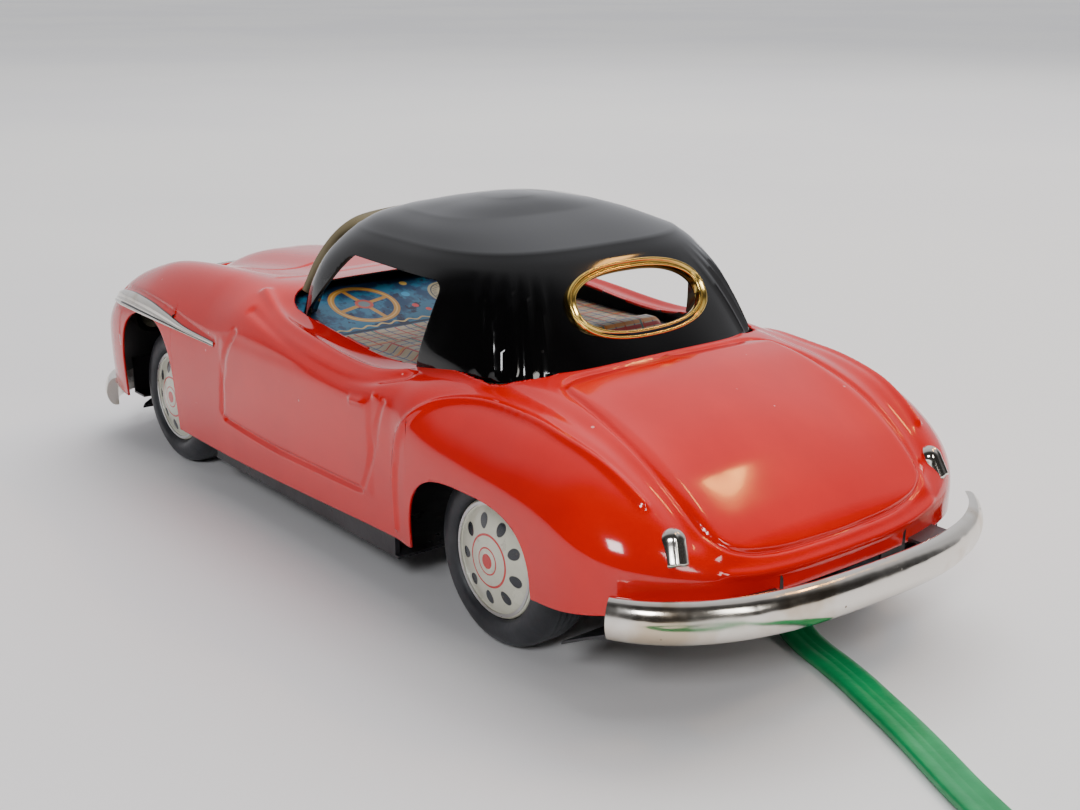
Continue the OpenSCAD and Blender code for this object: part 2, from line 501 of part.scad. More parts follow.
module wheel_disc(x, s) color("beige") wheel_place(x, s) rotate_extrude($fn = 64)
    polygon(concat([for (r = [0 : 1.7 : disc_radius]) [r, tyre_outer_y + disc_dome * (1 - pow(r / disc_radius, 2))]],
        [[disc_radius, tyre_outer_y], [disc_radius, tyre_outer_y - 0.6], [disc_radius - 0.5, tyre_outer_y - 0.6]],
        [for (r = [disc_radius - 1.7 : -1.7 : 0]) [r, tyre_outer_y - 0.5 + disc_dome * (1 - pow(r / disc_radius, 2))]],
        [[0, tyre_outer_y - 0.5 + disc_dome]]));
module rear_wheel_hubs() for (s = [-1, 1]) wheel_hub(rear_axle_x, s);
module rear_disc_left() wheel_disc(rear_axle_x, 1);
module rear_disc_right() wheel_disc(rear_axle_x, -1);
module rear_tyre_left() tyre(rear_axle_x, 1);
module rear_tyre_right() tyre(rear_axle_x, -1);
module front_wheel_hubs() for (s = [-1, 1]) wheel_hub(front_axle_x, s);
module front_disc_left() wheel_disc(front_axle_x, 1);
module front_disc_right() wheel_disc(front_axle_x, -1);
module front_tyre_left() tyre(front_axle_x, 1);
module front_tyre_right() tyre(front_axle_x, -1);

// ---- Steering beam on its rivet ----
beam_z = plate_z + tin + 0.3;
module steering_rivet() color("silver") translate([front_axle_x, 0, 0]) {
    translate([0, 0, plate_z]) cylinder(r = rivet_head, h = tin);
    translate([0, 0, plate_z]) cylinder(r = 1.5, h = beam_z + 1.4 - plate_z);
    translate([0, 0, beam_z + 1.35]) cylinder(r = 2.6, h = 0.8);
}
module steering_beam() color("gray") difference() {
    union() {
        translate([front_axle_x, 0, beam_z]) rounded_box(11, 42, 1, 3);
        for (s = [-1, 1]) along_y(s * 20.4 - 0.5, s * 20.4 + 0.5)
            polygon([[front_axle_x - 4, beam_z + 0.2], [front_axle_x + 4, beam_z + 0.2],
                [front_axle_x + 3, axle_z + 3.6], [front_axle_x - 3, axle_z + 3.6]]);
    }
    translate([front_axle_x, 0, 0]) cylinder(r = 1.5 + running_gap, h = 20);
    rod_y(front_axle_x, axle_z, axle_radius + running_gap, -30, 30);
}

// ---- Cable: flat, limp, from the grommet to the ground, then back behind the car to its coil ----
lay_z = 0.95;
cable_route = [[-77, -5.8, 8.6], [-78.6, -5.6, 6.4], [-80.6, -5.2, 4.2], [-83.4, -4.5, 2.4], [-87, -3.3, 1.3],
    [-91.5, -1.8, lay_z], [-97, -0.2, lay_z], [-103, 1.8, lay_z], [-109, 4.2, lay_z], [-115, 6.6, lay_z],
    [-121, 9.2, lay_z], [-127, 12, lay_z], [-133, 14.8, lay_z], [-139, 17.3, lay_z], [-146, 20.2, lay_z],
    [-154, 23.6, lay_z], [-162, 27, lay_z], [-170, 30.4, lay_z], [-176, 32.9, lay_z]];
coil_centre = [-163.5, 63.5];
coil_width = 12;
coil_height = 4.2;
cable_sides = 8;
// The loose end, from the inner turn of the coil into the plug
tail_route = [[-137.5, 78.5, 2.6], [-135.8, 75.1, 2], [-135.6, 71.5, 1.5], [-136.2, 67.7, 1.2], [-137.5, 64.5, 1.1],
    [-139.7, 61.7, 1.1], [-142.6, 59.4, 1.4], [-146, 58, 2], [-149.6, 57.5, 2.7], [-153, 57.5, 3.3], [-156, 57.5, 3.5]];
function route_dir(p, i) = unit(p[min(i + 1, len(p) - 1)] - p[max(i - 1, 0)]);
function cable_ring(p, i) =
    let (d = route_dir(p, i), side = unit(cross([0, 0, 1], d)), up = cross(d, side))
    [for (k = [0 : cable_sides - 1]) let (w = 360 * k / cable_sides)
        p[i] + side * cable_width / 2 * cos(w) + up * cable_thickness / 2 * sin(w)];
module flat_cable(p) color("green") {
    n = len(p);
    m = cable_sides;
    polyhedron([for (i = [0 : n - 1]) each cable_ring(p, i)], concat(tube_faces(n, m, 0, true),
        [for (j = [1 : m - 2]) [0, j, j + 1]],
        [for (j = [1 : m - 2]) [(n - 1) * m, (n - 1) * m + j + 1, (n - 1) * m + j]]));
}
module control_cable() flat_cable(cable_route);
module cable_tail() flat_cable(tail_route);
module cable_coil() color("green") translate([coil_centre[0], coil_centre[1], 0]) rotate_extrude($fn = 64)
    translate([coil_radius, coil_height / 2]) rounded_plate(coil_width, coil_height, 2);
plug_at = [-170.5, 57.5, 0];
module cable_plug() color("ivory") translate(plug_at) difference() {
    union() {
        translate([0, 0, 0]) rounded_box(18, 11, 7, 2.5);
        translate([8, 0, 3.5]) rotate([0, 90, 0]) cylinder(r = 2.6, h = 6);
    }
    translate([-12, 0, 3.5]) cube([3, 3, 3], center = true);
}
module cable_grommet() color("dimgray") translate([-78, -6, 8.4]) rotate([0, 0, -20]) difference() {
    rounded_box(6, 10, 2.2, 2);
    translate([0, 0, -1]) rounded_box(2.4, 6.6, 5, 1);
}
lead_points = [[-75.5, -7, 12], [-66, -15.5, 20], [-50, -15.5, 27], [-42, -12.4, 23.5]];
module motor_leads() color("green") for (s = [-1, 1]) for (i = [0 : len(lead_points) - 2]) hull() {
    translate(lead_points[i] + [0, 0, s * 0.9]) sphere(0.6, $fn = 10);
    translate(lead_points[i + 1] + [0, 0, s * 0.9]) sphere(0.6, $fn = 10);
}

body_shell();
roof_shell();
rear_window_rim();
windshield_frame();
base_plate();
interior_tray();
seat_pressing();
rear_bumper();
front_bumper();
bumper_straps();
tail_light_left();
tail_light_right();
headlight_ring_left();
headlight_ring_right();
headlight_lens_left();
headlight_lens_right();
grille_frame();
grille_mesh();
fender_flash_left();
fender_flash_right();
body_tabs();
gearbox_plate_left();
gearbox_plate_right();
gearbox_pillars();
idler_stud();
motor_can();
motor_magnets();
motor_end_cap();
motor_armature();
motor_shaft();
motor_pinion();
idler_gear();
rear_axle();
axle_gear();
rear_wheel_hubs();
rear_disc_left();
rear_disc_right();
rear_tyre_left();
rear_tyre_right();
steering_rivet();
steering_beam();
front_axle();
front_wheel_hubs();
front_disc_left();
front_disc_right();
front_tyre_left();
front_tyre_right();
motor_leads();
cable_grommet();
control_cable();
cable_coil();
cable_tail();
cable_plug();
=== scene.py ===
import math

import bmesh
import bpy
import numpy as np
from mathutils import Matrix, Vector
from mathutils.kdtree import KDTree


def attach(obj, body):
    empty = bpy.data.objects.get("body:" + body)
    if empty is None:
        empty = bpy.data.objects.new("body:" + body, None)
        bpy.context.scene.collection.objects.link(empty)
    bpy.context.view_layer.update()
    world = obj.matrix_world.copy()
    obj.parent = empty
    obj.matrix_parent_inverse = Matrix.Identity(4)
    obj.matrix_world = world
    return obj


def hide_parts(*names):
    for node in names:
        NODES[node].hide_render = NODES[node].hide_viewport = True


# A pressed-tin toy coupe. Shapes are in millimetres of the part's own frame, and materials are in metres.
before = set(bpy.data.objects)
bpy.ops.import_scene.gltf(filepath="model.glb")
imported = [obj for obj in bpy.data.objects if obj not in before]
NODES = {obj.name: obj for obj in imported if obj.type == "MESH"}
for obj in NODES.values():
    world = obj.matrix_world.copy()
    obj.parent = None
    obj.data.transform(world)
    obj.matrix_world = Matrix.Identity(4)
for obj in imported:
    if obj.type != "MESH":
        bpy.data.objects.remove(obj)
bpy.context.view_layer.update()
MM = 0.001
UP = np.array([0, 0, 1.0])
SIDES = ((1, "left"), (-1, "right"))


def lerp(a, b, t):
    return a + (b - a) * t


def curve(stations, x):
    """A smooth curve through stations [x, value], as the part's own."""
    p = np.array(stations, float)
    xs, vs = p[:, 0], p[:, 1]
    last = len(xs) - 1
    x = np.clip(np.asarray(x, float), xs[0], xs[-1])
    i = np.clip(np.searchsorted(xs, x, side="right") - 1, 0, last - 1)
    k = np.arange(last + 1)
    a, b = np.maximum(k - 1, 0), np.minimum(k + 1, last)
    slope = (vs[b] - vs[a]) / (xs[b] - xs[a])
    h = xs[i + 1] - xs[i]
    t = (x - xs[i]) / h
    return (vs[i] * (1 + 2 * t) * (1 - t) ** 2 + h * slope[i] * t * (1 - t) ** 2
            + vs[i + 1] * t * t * (3 - 2 * t) - h * slope[i + 1] * t * t * (1 - t))


def smooth_line(points, step=0.4):
    """A dense smooth line through a few points."""
    p = np.array(points, float)
    s = np.concatenate([[0], np.cumsum(np.linalg.norm(np.diff(p, axis=0), axis=1))])
    u = np.linspace(0, s[-1], max(int(s[-1] / step), 2) + 1)
    return np.stack([curve(np.stack([s, p[:, c]], 1), u) for c in range(p.shape[1])], 1)


def smoothstep(a, b, x):
    t = np.clip((x - a) / (b - a), 0, 1)
    return t * t * (3 - 2 * t)
def unit(vectors):
    """Each row scaled to length 1."""
    return vectors / np.linalg.norm(vectors, axis=1)[:, None]


def averaged(points, count):
    """Each point of a line replaced by the mean of the count points around it."""
    half = count // 2
    padded = np.pad(points, ((half, half), (0, 0)), mode="edge")
    kernel = np.ones(count) / count
    return np.stack([np.convolve(padded[:, c], kernel, "valid") for c in range(3)], 1)


def full_turn(steps):
    return np.linspace(0, 2 * math.pi, steps, endpoint=False)


def spow(v, n):
    """A power that keeps the sign."""
    return np.sign(v) * np.abs(v) ** n


def squared_oval(a, b, n, steps):
    """Both coordinates round an oval of half sizes a and b; a larger n is squarer."""
    w = full_turn(steps)
    return a * spow(np.cos(w), 2 / n), b * spow(np.sin(w), 2 / n)
# ---------------------------------------------------------------- camera
CAMERA_AT = (-233.23, 169.20, 109.94)
CAMERA_YAW = -38.54
CAMERA_PITCH = -17.07
cam_data = bpy.data.cameras.new("camera")
cam_data.sensor_width = 36
cam_data.lens = 48.33
cam_data.clip_start = 0.01
cam = bpy.data.objects.new("camera", cam_data)
bpy.context.scene.collection.objects.link(cam)
cam.location = [c * MM for c in CAMERA_AT]
cam.rotation_euler = (math.radians(90 + CAMERA_PITCH), 0, math.radians(CAMERA_YAW - 90))
bpy.context.scene.camera = cam


# ---------------------------------------------------------------- materials
class Paint:
    """One procedural material and short calls for its nodes."""

    def __init__(self, name, roughness=0.4, metallic=0.0, coat=0.0, coat_roughness=0.05, transmission=0.0):
        self.mat = bpy.data.materials.new(name)
        self.mat.use_nodes = True
        self.nodes, self.links = self.mat.node_tree.nodes, self.mat.node_tree.links
        self.bsdf = self.nodes["Principled BSDF"]
        for socket, value in (("Roughness", roughness), ("Metallic", metallic), ("Coat Weight", coat),
                              ("Coat Roughness", coat_roughness), ("IOR", 1.5),
                              ("Transmission Weight", transmission)):
            self.bsdf.inputs[socket].default_value = value
        self.coords = self.nodes.new("ShaderNodeTexCoord").outputs["Object"]

    def put(self, node, index, value):
        """Links a socket to an input, or sets the input to a number or a colour."""
        if isinstance(value, bpy.types.NodeSocket):
            self.links.new(value, node.inputs[index])
        else:
            if node.inputs[index].type == "RGBA" and len(value) == 3:
                value = (*value, 1)
            node.inputs[index].default_value = value

    def math(self, operation, a, b=0.0):
        n = self.nodes.new("ShaderNodeMath")
        n.operation = operation
        self.put(n, 0, a)
        self.put(n, 1, b)
        return n.outputs[0]

    def length(self, a, b):
        squares = [self.math("MULTIPLY", v, v) for v in (a, b)]
        return self.math("SQRT", self.math("ADD", *squares))

    def axes(self):
        n = self.nodes.new("ShaderNodeSeparateXYZ")
        self.put(n, 0, self.coords)
        return n.outputs[0], n.outputs[1], n.outputs[2]

    def scaled(self, sx, sy, sz):
        n = self.nodes.new("ShaderNodeMapping")
        self.put(n, 0, self.coords)
        n.inputs["Scale"].default_value = (sx, sy, sz)
        return n.outputs[0]

    def noise(self, scale, detail=3.0, roughness=0.5, vector=None):
        n = self.nodes.new("ShaderNodeTexNoise")
        self.put(n, "Vector", vector or self.coords)
        n.inputs["Scale"].default_value = scale
        n.inputs["Detail"].default_value = detail
        n.inputs["Roughness"].default_value = roughness
        return n.outputs["Fac"]

    def cells(self, scale):
        n = self.nodes.new("ShaderNodeTexVoronoi")
        self.put(n, "Vector", self.coords)
        n.inputs["Scale"].default_value = scale
        return n.outputs["Distance"]

    def band(self, value, low, high, to_low=0.0, to_high=1.0):
        """A soft step from to_low to to_high as the value goes from low to high."""
        n = self.nodes.new("ShaderNodeMapRange")
        n.interpolation_type = "SMOOTHSTEP"
        for i, v in enumerate((value, low, high, to_low, to_high)):
            self.put(n, i, v)
        return n.outputs[0]

    def mix(self, factor, a, b):
        n = self.nodes.new("ShaderNodeMix")
        n.data_type = "RGBA"
        self.put(n, 0, factor)
        self.put(n, 6, a)
        self.put(n, 7, b)
        return n.outputs[2]

    def color(self, socket):
        self.put(self.bsdf, "Base Color", socket)

    def rough(self, socket):
        self.put(self.bsdf, "Roughness", socket)

    def bump(self, height, distance, strength=1.0, coat=False):
        n = self.nodes.new("ShaderNodeBump")
        n.inputs["Strength"].default_value = strength
        n.inputs["Distance"].default_value = distance
        self.put(n, "Height", height)
        self.links.new(n.outputs[0], self.bsdf.inputs["Normal"])
        if coat:
            self.links.new(n.outputs[0], self.bsdf.inputs["Coat Normal"])


def enamel(name, deep, light, chip, roughness, coat, waviness):
    """Glossy baked enamel on tin: slow colour drift, fine scratches, a few chips and a faint wave."""
    p = Paint(name, roughness=roughness, coat=coat, coat_roughness=0.03)
    drift = p.noise(38, 4, 0.6)
    base = p.mix(p.band(drift, 0.35, 0.7), deep, light)
    specks = p.band(p.cells(240), 0.05, 0.085, 1, 0)
    sparse = p.band(p.noise(55, 2), 0.60, 0.66)
    chips = p.math("MULTIPLY", specks, sparse)
    scratch = p.noise(60, 6, 0.7, p.scaled(1, 9, 9))
    scratches = p.math("MULTIPLY", p.band(scratch, 0.70, 0.73), p.band(p.noise(24, 2), 0.5, 0.6))
    wear = p.math("MAXIMUM", chips, p.math("MULTIPLY", scratches, 0.45))
    p.color(p.mix(wear, base, chip))
    haze = p.band(p.noise(90, 5, 0.65), 0.35, 0.8, roughness, roughness + 0.06)
    p.rough(p.math("ADD", haze, p.math("MULTIPLY", wear, 0.3)))
    height = p.math("ADD", p.noise(26, 2, 0.4), p.math("MULTIPLY", p.noise(900, 2, 0.5), 0.012))
    p.bump(p.math("SUBTRACT", height, p.math("MULTIPLY", chips, 0.05)), 0.0006, waviness, coat=True)
    return p.mat


def plated(name, tint, dull, roughness, spots=0.4, wave=0.00012):
    """Plated metal with haze, tiny pits and soft waves."""
    p = Paint(name, roughness=roughness, metallic=1.0)
    haze = p.noise(120, 5, 0.65)
    stain = p.band(p.noise(45, 4, 0.6), 0.52, 0.68)
    pits = p.math("MULTIPLY", p.band(p.cells(420), 0.06, 0.12, 1, 0), p.band(p.noise(80, 2), 0.5, 0.6))
    base = p.mix(p.math("MULTIPLY", stain, spots), tint, dull)
    p.color(p.mix(p.math("MULTIPLY", pits, 0.8), base, [c * 0.35 for c in dull]))
    p.rough(p.math("ADD", p.band(haze, 0.3, 0.8, roughness, roughness + 0.16),
                   p.math("MULTIPLY", pits, 0.35)))
    p.bump(p.noise(70, 3, 0.5), wave * 5, 0.5)
    return p.mat


def moulded(name, deep, light, roughness, grain=700, depth=0.00004):
    """Moulded plastic or rubber with a fine grain and a little dust."""
    p = Paint(name, roughness=roughness)
    p.color(p.mix(p.band(p.noise(70, 4, 0.6), 0.35, 0.7), deep, light))
    p.rough(p.band(p.noise(160, 4, 0.6), 0.3, 0.8, roughness - 0.08, roughness + 0.14))
    p.bump(p.noise(grain, 3, 0.6), depth * 6, 0.6)
    return p.mat


RED = enamel("red_enamel", (0.66, 0.0022, 0.0015), (0.74, 0.0040, 0.0022), (0.86, 0.30, 0.28), 0.10, 0.25,
             0.14)
BLACK = enamel("black_enamel", (0.0012, 0.0012, 0.0015), (0.0030, 0.0028, 0.0030), (0.09, 0.085, 0.08),
               0.07, 0.0, 0.05)
BLACK_SATIN = moulded("black_tin", (0.012, 0.012, 0.014), (0.030, 0.030, 0.034), 0.34, 500, 0.00002)
# painted shade: the inner faces of the body and its tabs are coloured near-black to stand in for the shade
# inside the shell
INNER_PAINTED_SHADE = moulded("inner_painted_shade", (0.010, 0.009, 0.010), (0.028, 0.024, 0.026), 0.42, 400, 0.00002)
CHROME = plated("chrome_trim", (0.80, 0.76, 0.70), (0.50, 0.37, 0.22), 0.10, 0.7)
BRASS = plated("brass_trim", (0.90, 0.62, 0.16), (0.56, 0.36, 0.10), 0.12, 0.5)
PALE_BRASS = plated("aged_trim", (0.34, 0.28, 0.16), (0.15, 0.12, 0.07), 0.26, 0.8)
STEEL = plated("bright_steel", (0.62, 0.62, 0.62), (0.38, 0.35, 0.32), 0.24, 0.6)
DARK_STEEL = plated("dark_steel", (0.20, 0.20, 0.21), (0.11, 0.095, 0.085), 0.38, 0.8)
GEAR_BRASS = plated("brass_parts", (0.72, 0.53, 0.22), (0.44, 0.31, 0.14), 0.26, 0.6)
NYLON = moulded("gear_nylon", (0.66, 0.62, 0.52), (0.76, 0.73, 0.64), 0.42)
MAGNET = moulded("magnet_black", (0.02, 0.02, 0.022), (0.05, 0.05, 0.052), 0.6)
CAP = moulded("cap_plastic", (0.50, 0.46, 0.36), (0.62, 0.58, 0.48), 0.38)
TYRE = moulded("tyre_rubber", (0.016, 0.017, 0.021), (0.042, 0.044, 0.052), 0.46, 380, 0.00003)
RUBBER = moulded("black_rubber", (0.014, 0.014, 0.015), (0.032, 0.032, 0.034), 0.55)
GREEN = moulded("green_vinyl", (0.004, 0.235, 0.070), (0.010, 0.33, 0.105), 0.36, 260, 0.00004)


def lens_material():
    """Pale moulded glass with fine upright ribs."""
    p = Paint("lamp_lens", roughness=0.07, transmission=0.25, coat=0.5)
    ribs = p.math("SINE", p.math("MULTIPLY", p.axes()[1], 4200))
    p.color(p.mix(p.band(p.noise(90, 3), 0.35, 0.7), (0.74, 0.70, 0.55), (0.86, 0.84, 0.74)))
    p.bump(ribs, 0.0002, 0.5)
    return p.mat


LENS = lens_material()


def ring_mask(p, distance, radius, half, soft):
    """1 on a ring of that radius and half-width, 0 away from it."""
    return p.band(p.math("ABSOLUTE", p.math("SUBTRACT", distance, radius)), half, half + soft, 1, 0)


def disc_material():
    """Cream printed wheel disc: nine dark ovals, two thin red rings and a plain red boss."""
    p = Paint("wheel_cream", roughness=0.22, coat=0.4)
    x, _, z = p.axes()
    r = p.length(x, z)
    oval_at, oval_half_width, oval_half_height = 0.00675, 0.00098, 0.00130
    pitch = 2 * math.pi / 9
    angle = p.math("ADD", p.math("ARCTAN2", z, x), 20.0)
    local = p.math("SUBTRACT", p.math("FLOORED_MODULO", angle, pitch), pitch / 2)
    across = p.math("DIVIDE", p.math("MULTIPLY", local, oval_at), oval_half_width)
    along = p.math("DIVIDE", p.math("SUBTRACT", r, oval_at), oval_half_height)
    holes = p.band(p.length(across, along), 0.92, 1.06, 1, 0)
    red = p.band(r, 0.00125, 0.00135, 1, 0)
    for radius, half, soft in ((0.00448, 0.00016, 0.00008), (0.0023, 0.00011, 0.00006)):
        red = p.math("MAXIMUM", red, ring_mask(p, r, radius, half, soft))
    cream = p.mix(p.band(p.noise(160, 4, 0.6), 0.35, 0.75), (0.66, 0.65, 0.52), (0.75, 0.74, 0.62))
    base = p.mix(red, cream, (0.62, 0.03, 0.03))
    base = p.mix(holes, base, (0.012, 0.016, 0.024))
    dirt = p.math("MULTIPLY", p.band(p.noise(420, 5, 0.7), 0.60, 0.68), 0.35)
    p.color(p.mix(dirt, base, (0.30, 0.24, 0.16)))
    p.rough(p.band(p.noise(200, 4), 0.3, 0.8, 0.18, 0.34))
    p.bump(p.math("SUBTRACT", p.math("MULTIPLY", p.noise(320, 3), 0.15), holes), 0.00022, 0.7)
    return p.mat


DISC = disc_material()


def litho_material():
    """Printed interior: plaid floor and seats, and a blue dashboard with a wheel, a dial and dots."""
    p = Paint("litho_interior", roughness=0.42, coat=0.08)
    x, y, _ = p.axes()

    def stripes(axis, pitch, offset, half):
        place = p.math("FLOORED_MODULO", p.math("ADD", axis, 1.0 + offset), pitch)
        return ring_mask(p, place, pitch / 2, half, 0.00006)

    def from_point(at_x, at_y):
        """Offsets and distance from a printed centre, as seen on the sloping dashboard."""
        dx = p.math("MULTIPLY", p.math("SUBTRACT", x, at_x), 1.06)
        dy = p.math("SUBTRACT", y, at_y)
        return dx, dy, p.length(dx, dy)

    def spot(distance, radius, soft=0.0001):
        return p.band(distance, radius, radius + soft, 1, 0)

    base = p.mix(p.band(p.noise(300, 3), 0.35, 0.7), (0.46, 0.37, 0.25), (0.54, 0.44, 0.31))
    navy, brick = (0.03, 0.07, 0.22), (0.55, 0.05, 0.03)
    orange, teal = (0.72, 0.25, 0.04), (0.02, 0.16, 0.16)
    for axis, pitch, offset, half, ink in (
            (x, 0.0024, 0.0, 0.00016, navy), (y, 0.0024, 0.0, 0.00016, navy),
            (x, 0.0048, 0.0012, 0.00018, brick), (y, 0.0048, 0.0012, 0.00018, brick),
            (x, 0.0096, 0.003, 0.00022, orange), (y, 0.0096, 0.003, 0.00022, teal)):
        base = p.mix(p.math("MULTIPLY", stripes(axis, pitch, offset, half), 0.85), base, ink)

    # the dashboard: mottled blue, edged by a dark line and a scalloped gold one
    blue = p.mix(p.band(p.noise(210, 4, 0.65), 0.44, 0.56), (0.010, 0.050, 0.13), (0.018, 0.15, 0.27))
    blue = p.mix(p.band(p.noise(330, 4, 0.6), 0.58, 0.62), blue, (0.012, 0.02, 0.06))
    base = p.mix(p.band(x, 0.0088, 0.0091), base, blue)
    base = p.mix(ring_mask(p, x, 0.0096, 0.00030, 0.0001), base, (0.01, 0.02, 0.05))
    scallop = p.math("MULTIPLY", p.math("SINE", p.math("MULTIPLY", y, 1900)), 0.0003)
    edge_line = ring_mask(p, p.math("ADD", x, scallop), 0.0108, 0.00016, 0.0001)
    base = p.mix(edge_line, base, (0.62, 0.44, 0.16))

    # the printed steering wheel: four spokes, a rim with a bright line, and a boss
    dx, dy, r = from_point(0.0188, 0.0150)
    gold, wheel_radius = (0.50, 0.24, 0.035), 0.0069
    spokes = p.math("MINIMUM", p.math("ABSOLUTE", p.math("SUBTRACT", dy, p.math("MULTIPLY", dx, 0.25))),
                    p.math("ABSOLUTE", p.math("ADD", dx, p.math("MULTIPLY", dy, 0.25))))
    base = p.mix(p.math("MULTIPLY", spot(spokes, 0.00045, 0.00015), spot(r, 0.0066, 0.0002)), base, gold)
    base = p.mix(ring_mask(p, r, wheel_radius, 0.00062, 0.0001), base, gold)
    base = p.mix(ring_mask(p, r, wheel_radius, 0.00010, 0.0001), base, (0.66, 0.40, 0.12))
    base = p.mix(spot(r, 0.0019), base, (0.50, 0.07, 0.05))
    base = p.mix(spot(r, 0.0012), base, (0.16, 0.20, 0.22))

    # the dial, with plain ticks and a speckled middle
    dx, dy, r = from_point(0.0180, -0.0060)
    base = p.mix(spot(r, 0.0047, 0.0002), base, (0.40, 0.34, 0.20))
    base = p.mix(ring_mask(p, r, 0.0041, 0.00012, 0.00008), base, (0.06, 0.07, 0.08))
    ticks = p.math("GREATER_THAN", p.math("SINE", p.math("MULTIPLY", p.math("ARCTAN2", dy, dx), 24)), 0.3)
    base = p.mix(p.math("MULTIPLY", ticks, ring_mask(p, r, 0.0033, 0.0004, 0.0001)), base,
                 (0.10, 0.10, 0.10))
    speckle = p.math("MULTIPLY", spot(r, 0.0018, 0.0002), p.band(p.noise(900, 2), 0.45, 0.5))
    base = p.mix(speckle, base, (0.12, 0.12, 0.12))
    for at_x, at_y, radius, ink in (
            (0.0155, 0.0045, 0.0007, (0.70, 0.03, 0.03)), (0.0135, 0.0025, 0.0006, (0.75, 0.05, 0.04)),
            (0.0200, 0.0040, 0.0009, (0.02, 0.30, 0.55)), (0.0130, -0.0120, 0.0007, (0.72, 0.04, 0.03)),
            (0.0180, -0.0190, 0.0040, (0.02, 0.20, 0.42)), (0.0180, -0.0190, 0.0030, (0.60, 0.52, 0.36)),
            (0.0240, 0.0020, 0.0008, (0.72, 0.50, 0.12))):
        base = p.mix(spot(from_point(at_x, at_y)[2], radius), base, ink)
    p.color(base)
    p.rough(p.band(p.noise(140, 4), 0.3, 0.8, 0.38, 0.55))
    p.bump(p.noise(60, 3), 0.0003, 0.25)
    return p.mat


LITHO = litho_material()


def floor_material():
    """Plain pale table with a slow change of tone and a faint fibre."""
    p = Paint("pale_table", roughness=0.62)
    warm = p.band(p.noise(2.2, 3), 0.35, 0.65)
    base = p.mix(warm, (0.83, 0.825, 0.84), (0.88, 0.875, 0.87))
    fibre = p.band(p.noise(700, 4, 0.6), 0.66, 0.74)
    p.color(p.mix(p.math("MULTIPLY", fibre, 0.35), base, (0.74, 0.74, 0.75)))
    p.bump(p.math("ADD", p.noise(9, 4, 0.55), p.math("MULTIPLY", p.noise(420, 4, 0.6), 0.02)), 0.004, 0.35)
    return p.mat


# ---------------------------------------------------------------- mesh helpers
def add_piece(name, points, faces, materials, body="chassis", replaces=(), origin=(0, 0, 0),
              face_materials=None, sharp=38, outward=None):
    """A smooth-shaded mesh from points in millimetres, riding on a body."""
    origin = np.array(origin, float)
    mesh = bpy.data.meshes.new(name)
    mesh.from_pydata(((np.asarray(points, float) - origin) * MM).tolist(), [], faces)
    mesh.update()
    mesh.validate()
    for m in materials:
        mesh.materials.append(m)
    if face_materials is not None:
        mesh.polygons.foreach_set("material_index", np.asarray(face_materials, np.int32))
    bm = bmesh.new()
    bm.from_mesh(mesh)
    if outward is None:
        bmesh.ops.recalc_face_normals(bm, faces=bm.faces)
    else:
        top = max(bm.faces, key=lambda f: f.calc_center_median().dot(Vector(outward)))
        if top.normal.dot(Vector(outward)) < 0:
            bmesh.ops.reverse_faces(bm, faces=bm.faces)
    bm.to_mesh(mesh)
    bm.free()
    mesh.shade_smooth()
    if sharp:
        mesh.set_sharp_from_angle(angle=math.radians(sharp))
    obj = bpy.data.objects.new(name, mesh)
    bpy.context.scene.collection.objects.link(obj)
    obj.location = origin * MM
    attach(obj, body)
    if replaces:
        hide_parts(*replaces)
    return obj


def apply_modifiers(obj):
    """Keeps the piece's evaluated mesh and drops its modifiers."""
    bpy.context.view_layer.update()
    evaluated = obj.evaluated_get(bpy.context.evaluated_depsgraph_get())
    mesh = bpy.data.meshes.new_from_object(evaluated)
    obj.modifiers.clear()
    obj.data = mesh
    return obj


def give_wall(obj, thickness, inner_material=0):
    """Thickens a sheet inward; the inner face takes the material that many places on."""
    wall = obj.modifiers.new("wall", "SOLIDIFY")
    wall.thickness, wall.offset, wall.material_offset = thickness * MM, -1, inner_material
    return apply_modifiers(obj)


def grid_quads(rows, columns, start=0, wrap=False):
    """Faces of a grid of points; wrap joins its last column to its first."""
    out = []
    for i in range(rows - 1):
        a = start + i * columns
        b = a + columns
        out += [(a + j, a + j + 1, b + j + 1, b + j) for j in range(columns - 1)]
        if wrap:
            out.append((a + columns - 1, a, b, b + columns - 1))
    return out


def sweep(path, out, up, section, closed=False, scale=None):
    """Section points [outward, up] carried along a path, with flat caps on an open one."""
    path, out, up, section = (np.asarray(v, float) for v in (path, out, up, section))
    n, m = len(path), len(section)
    scale = np.ones(n) if scale is None else np.asarray(scale, float)
    points = (path[:, None, :] + out[:, None, :] * (section[None, :, 0:1] * scale[:, None, None])
              + up[:, None, :] * (section[None, :, 1:2] * scale[:, None, None]))
    faces = grid_quads(n, m, wrap=True)
    if closed:
        a = (n - 1) * m
        faces += [(a + j, a + (j + 1) % m, (j + 1) % m, j) for j in range(m)]
    else:
        faces += [tuple(range(m)), tuple((n - 1) * m + j for j in range(m))]
    return points.reshape(-1, 3), faces


def side_vectors(path, up, closed=False):
    """Unit vectors square to the path and to up."""
    along = np.roll(path, -1, axis=0) - np.roll(path, 1, axis=0) if closed else np.gradient(path, axis=0)
    return unit(np.cross(along, up))


def facing_away(vectors, path, centre):
    """The vectors, each turned so that it points away from the centre."""
    return vectors * np.sign(((path - centre) * vectors).sum(1))[:, None]


def joined(parts):
    """Several (points, faces) as one."""
    points, faces = [], []
    for part_points, part_faces in parts:
        start = sum(len(p) for p in points)
        faces += [tuple(i + start for i in face) for face in part_faces]
        points.append(part_points)
    return np.concatenate(points), faces


def nearest_finder(points):
    tree = KDTree(len(points))
    for i, p in enumerate(points):
        tree.insert(p, i)
    tree.balance()
    return tree


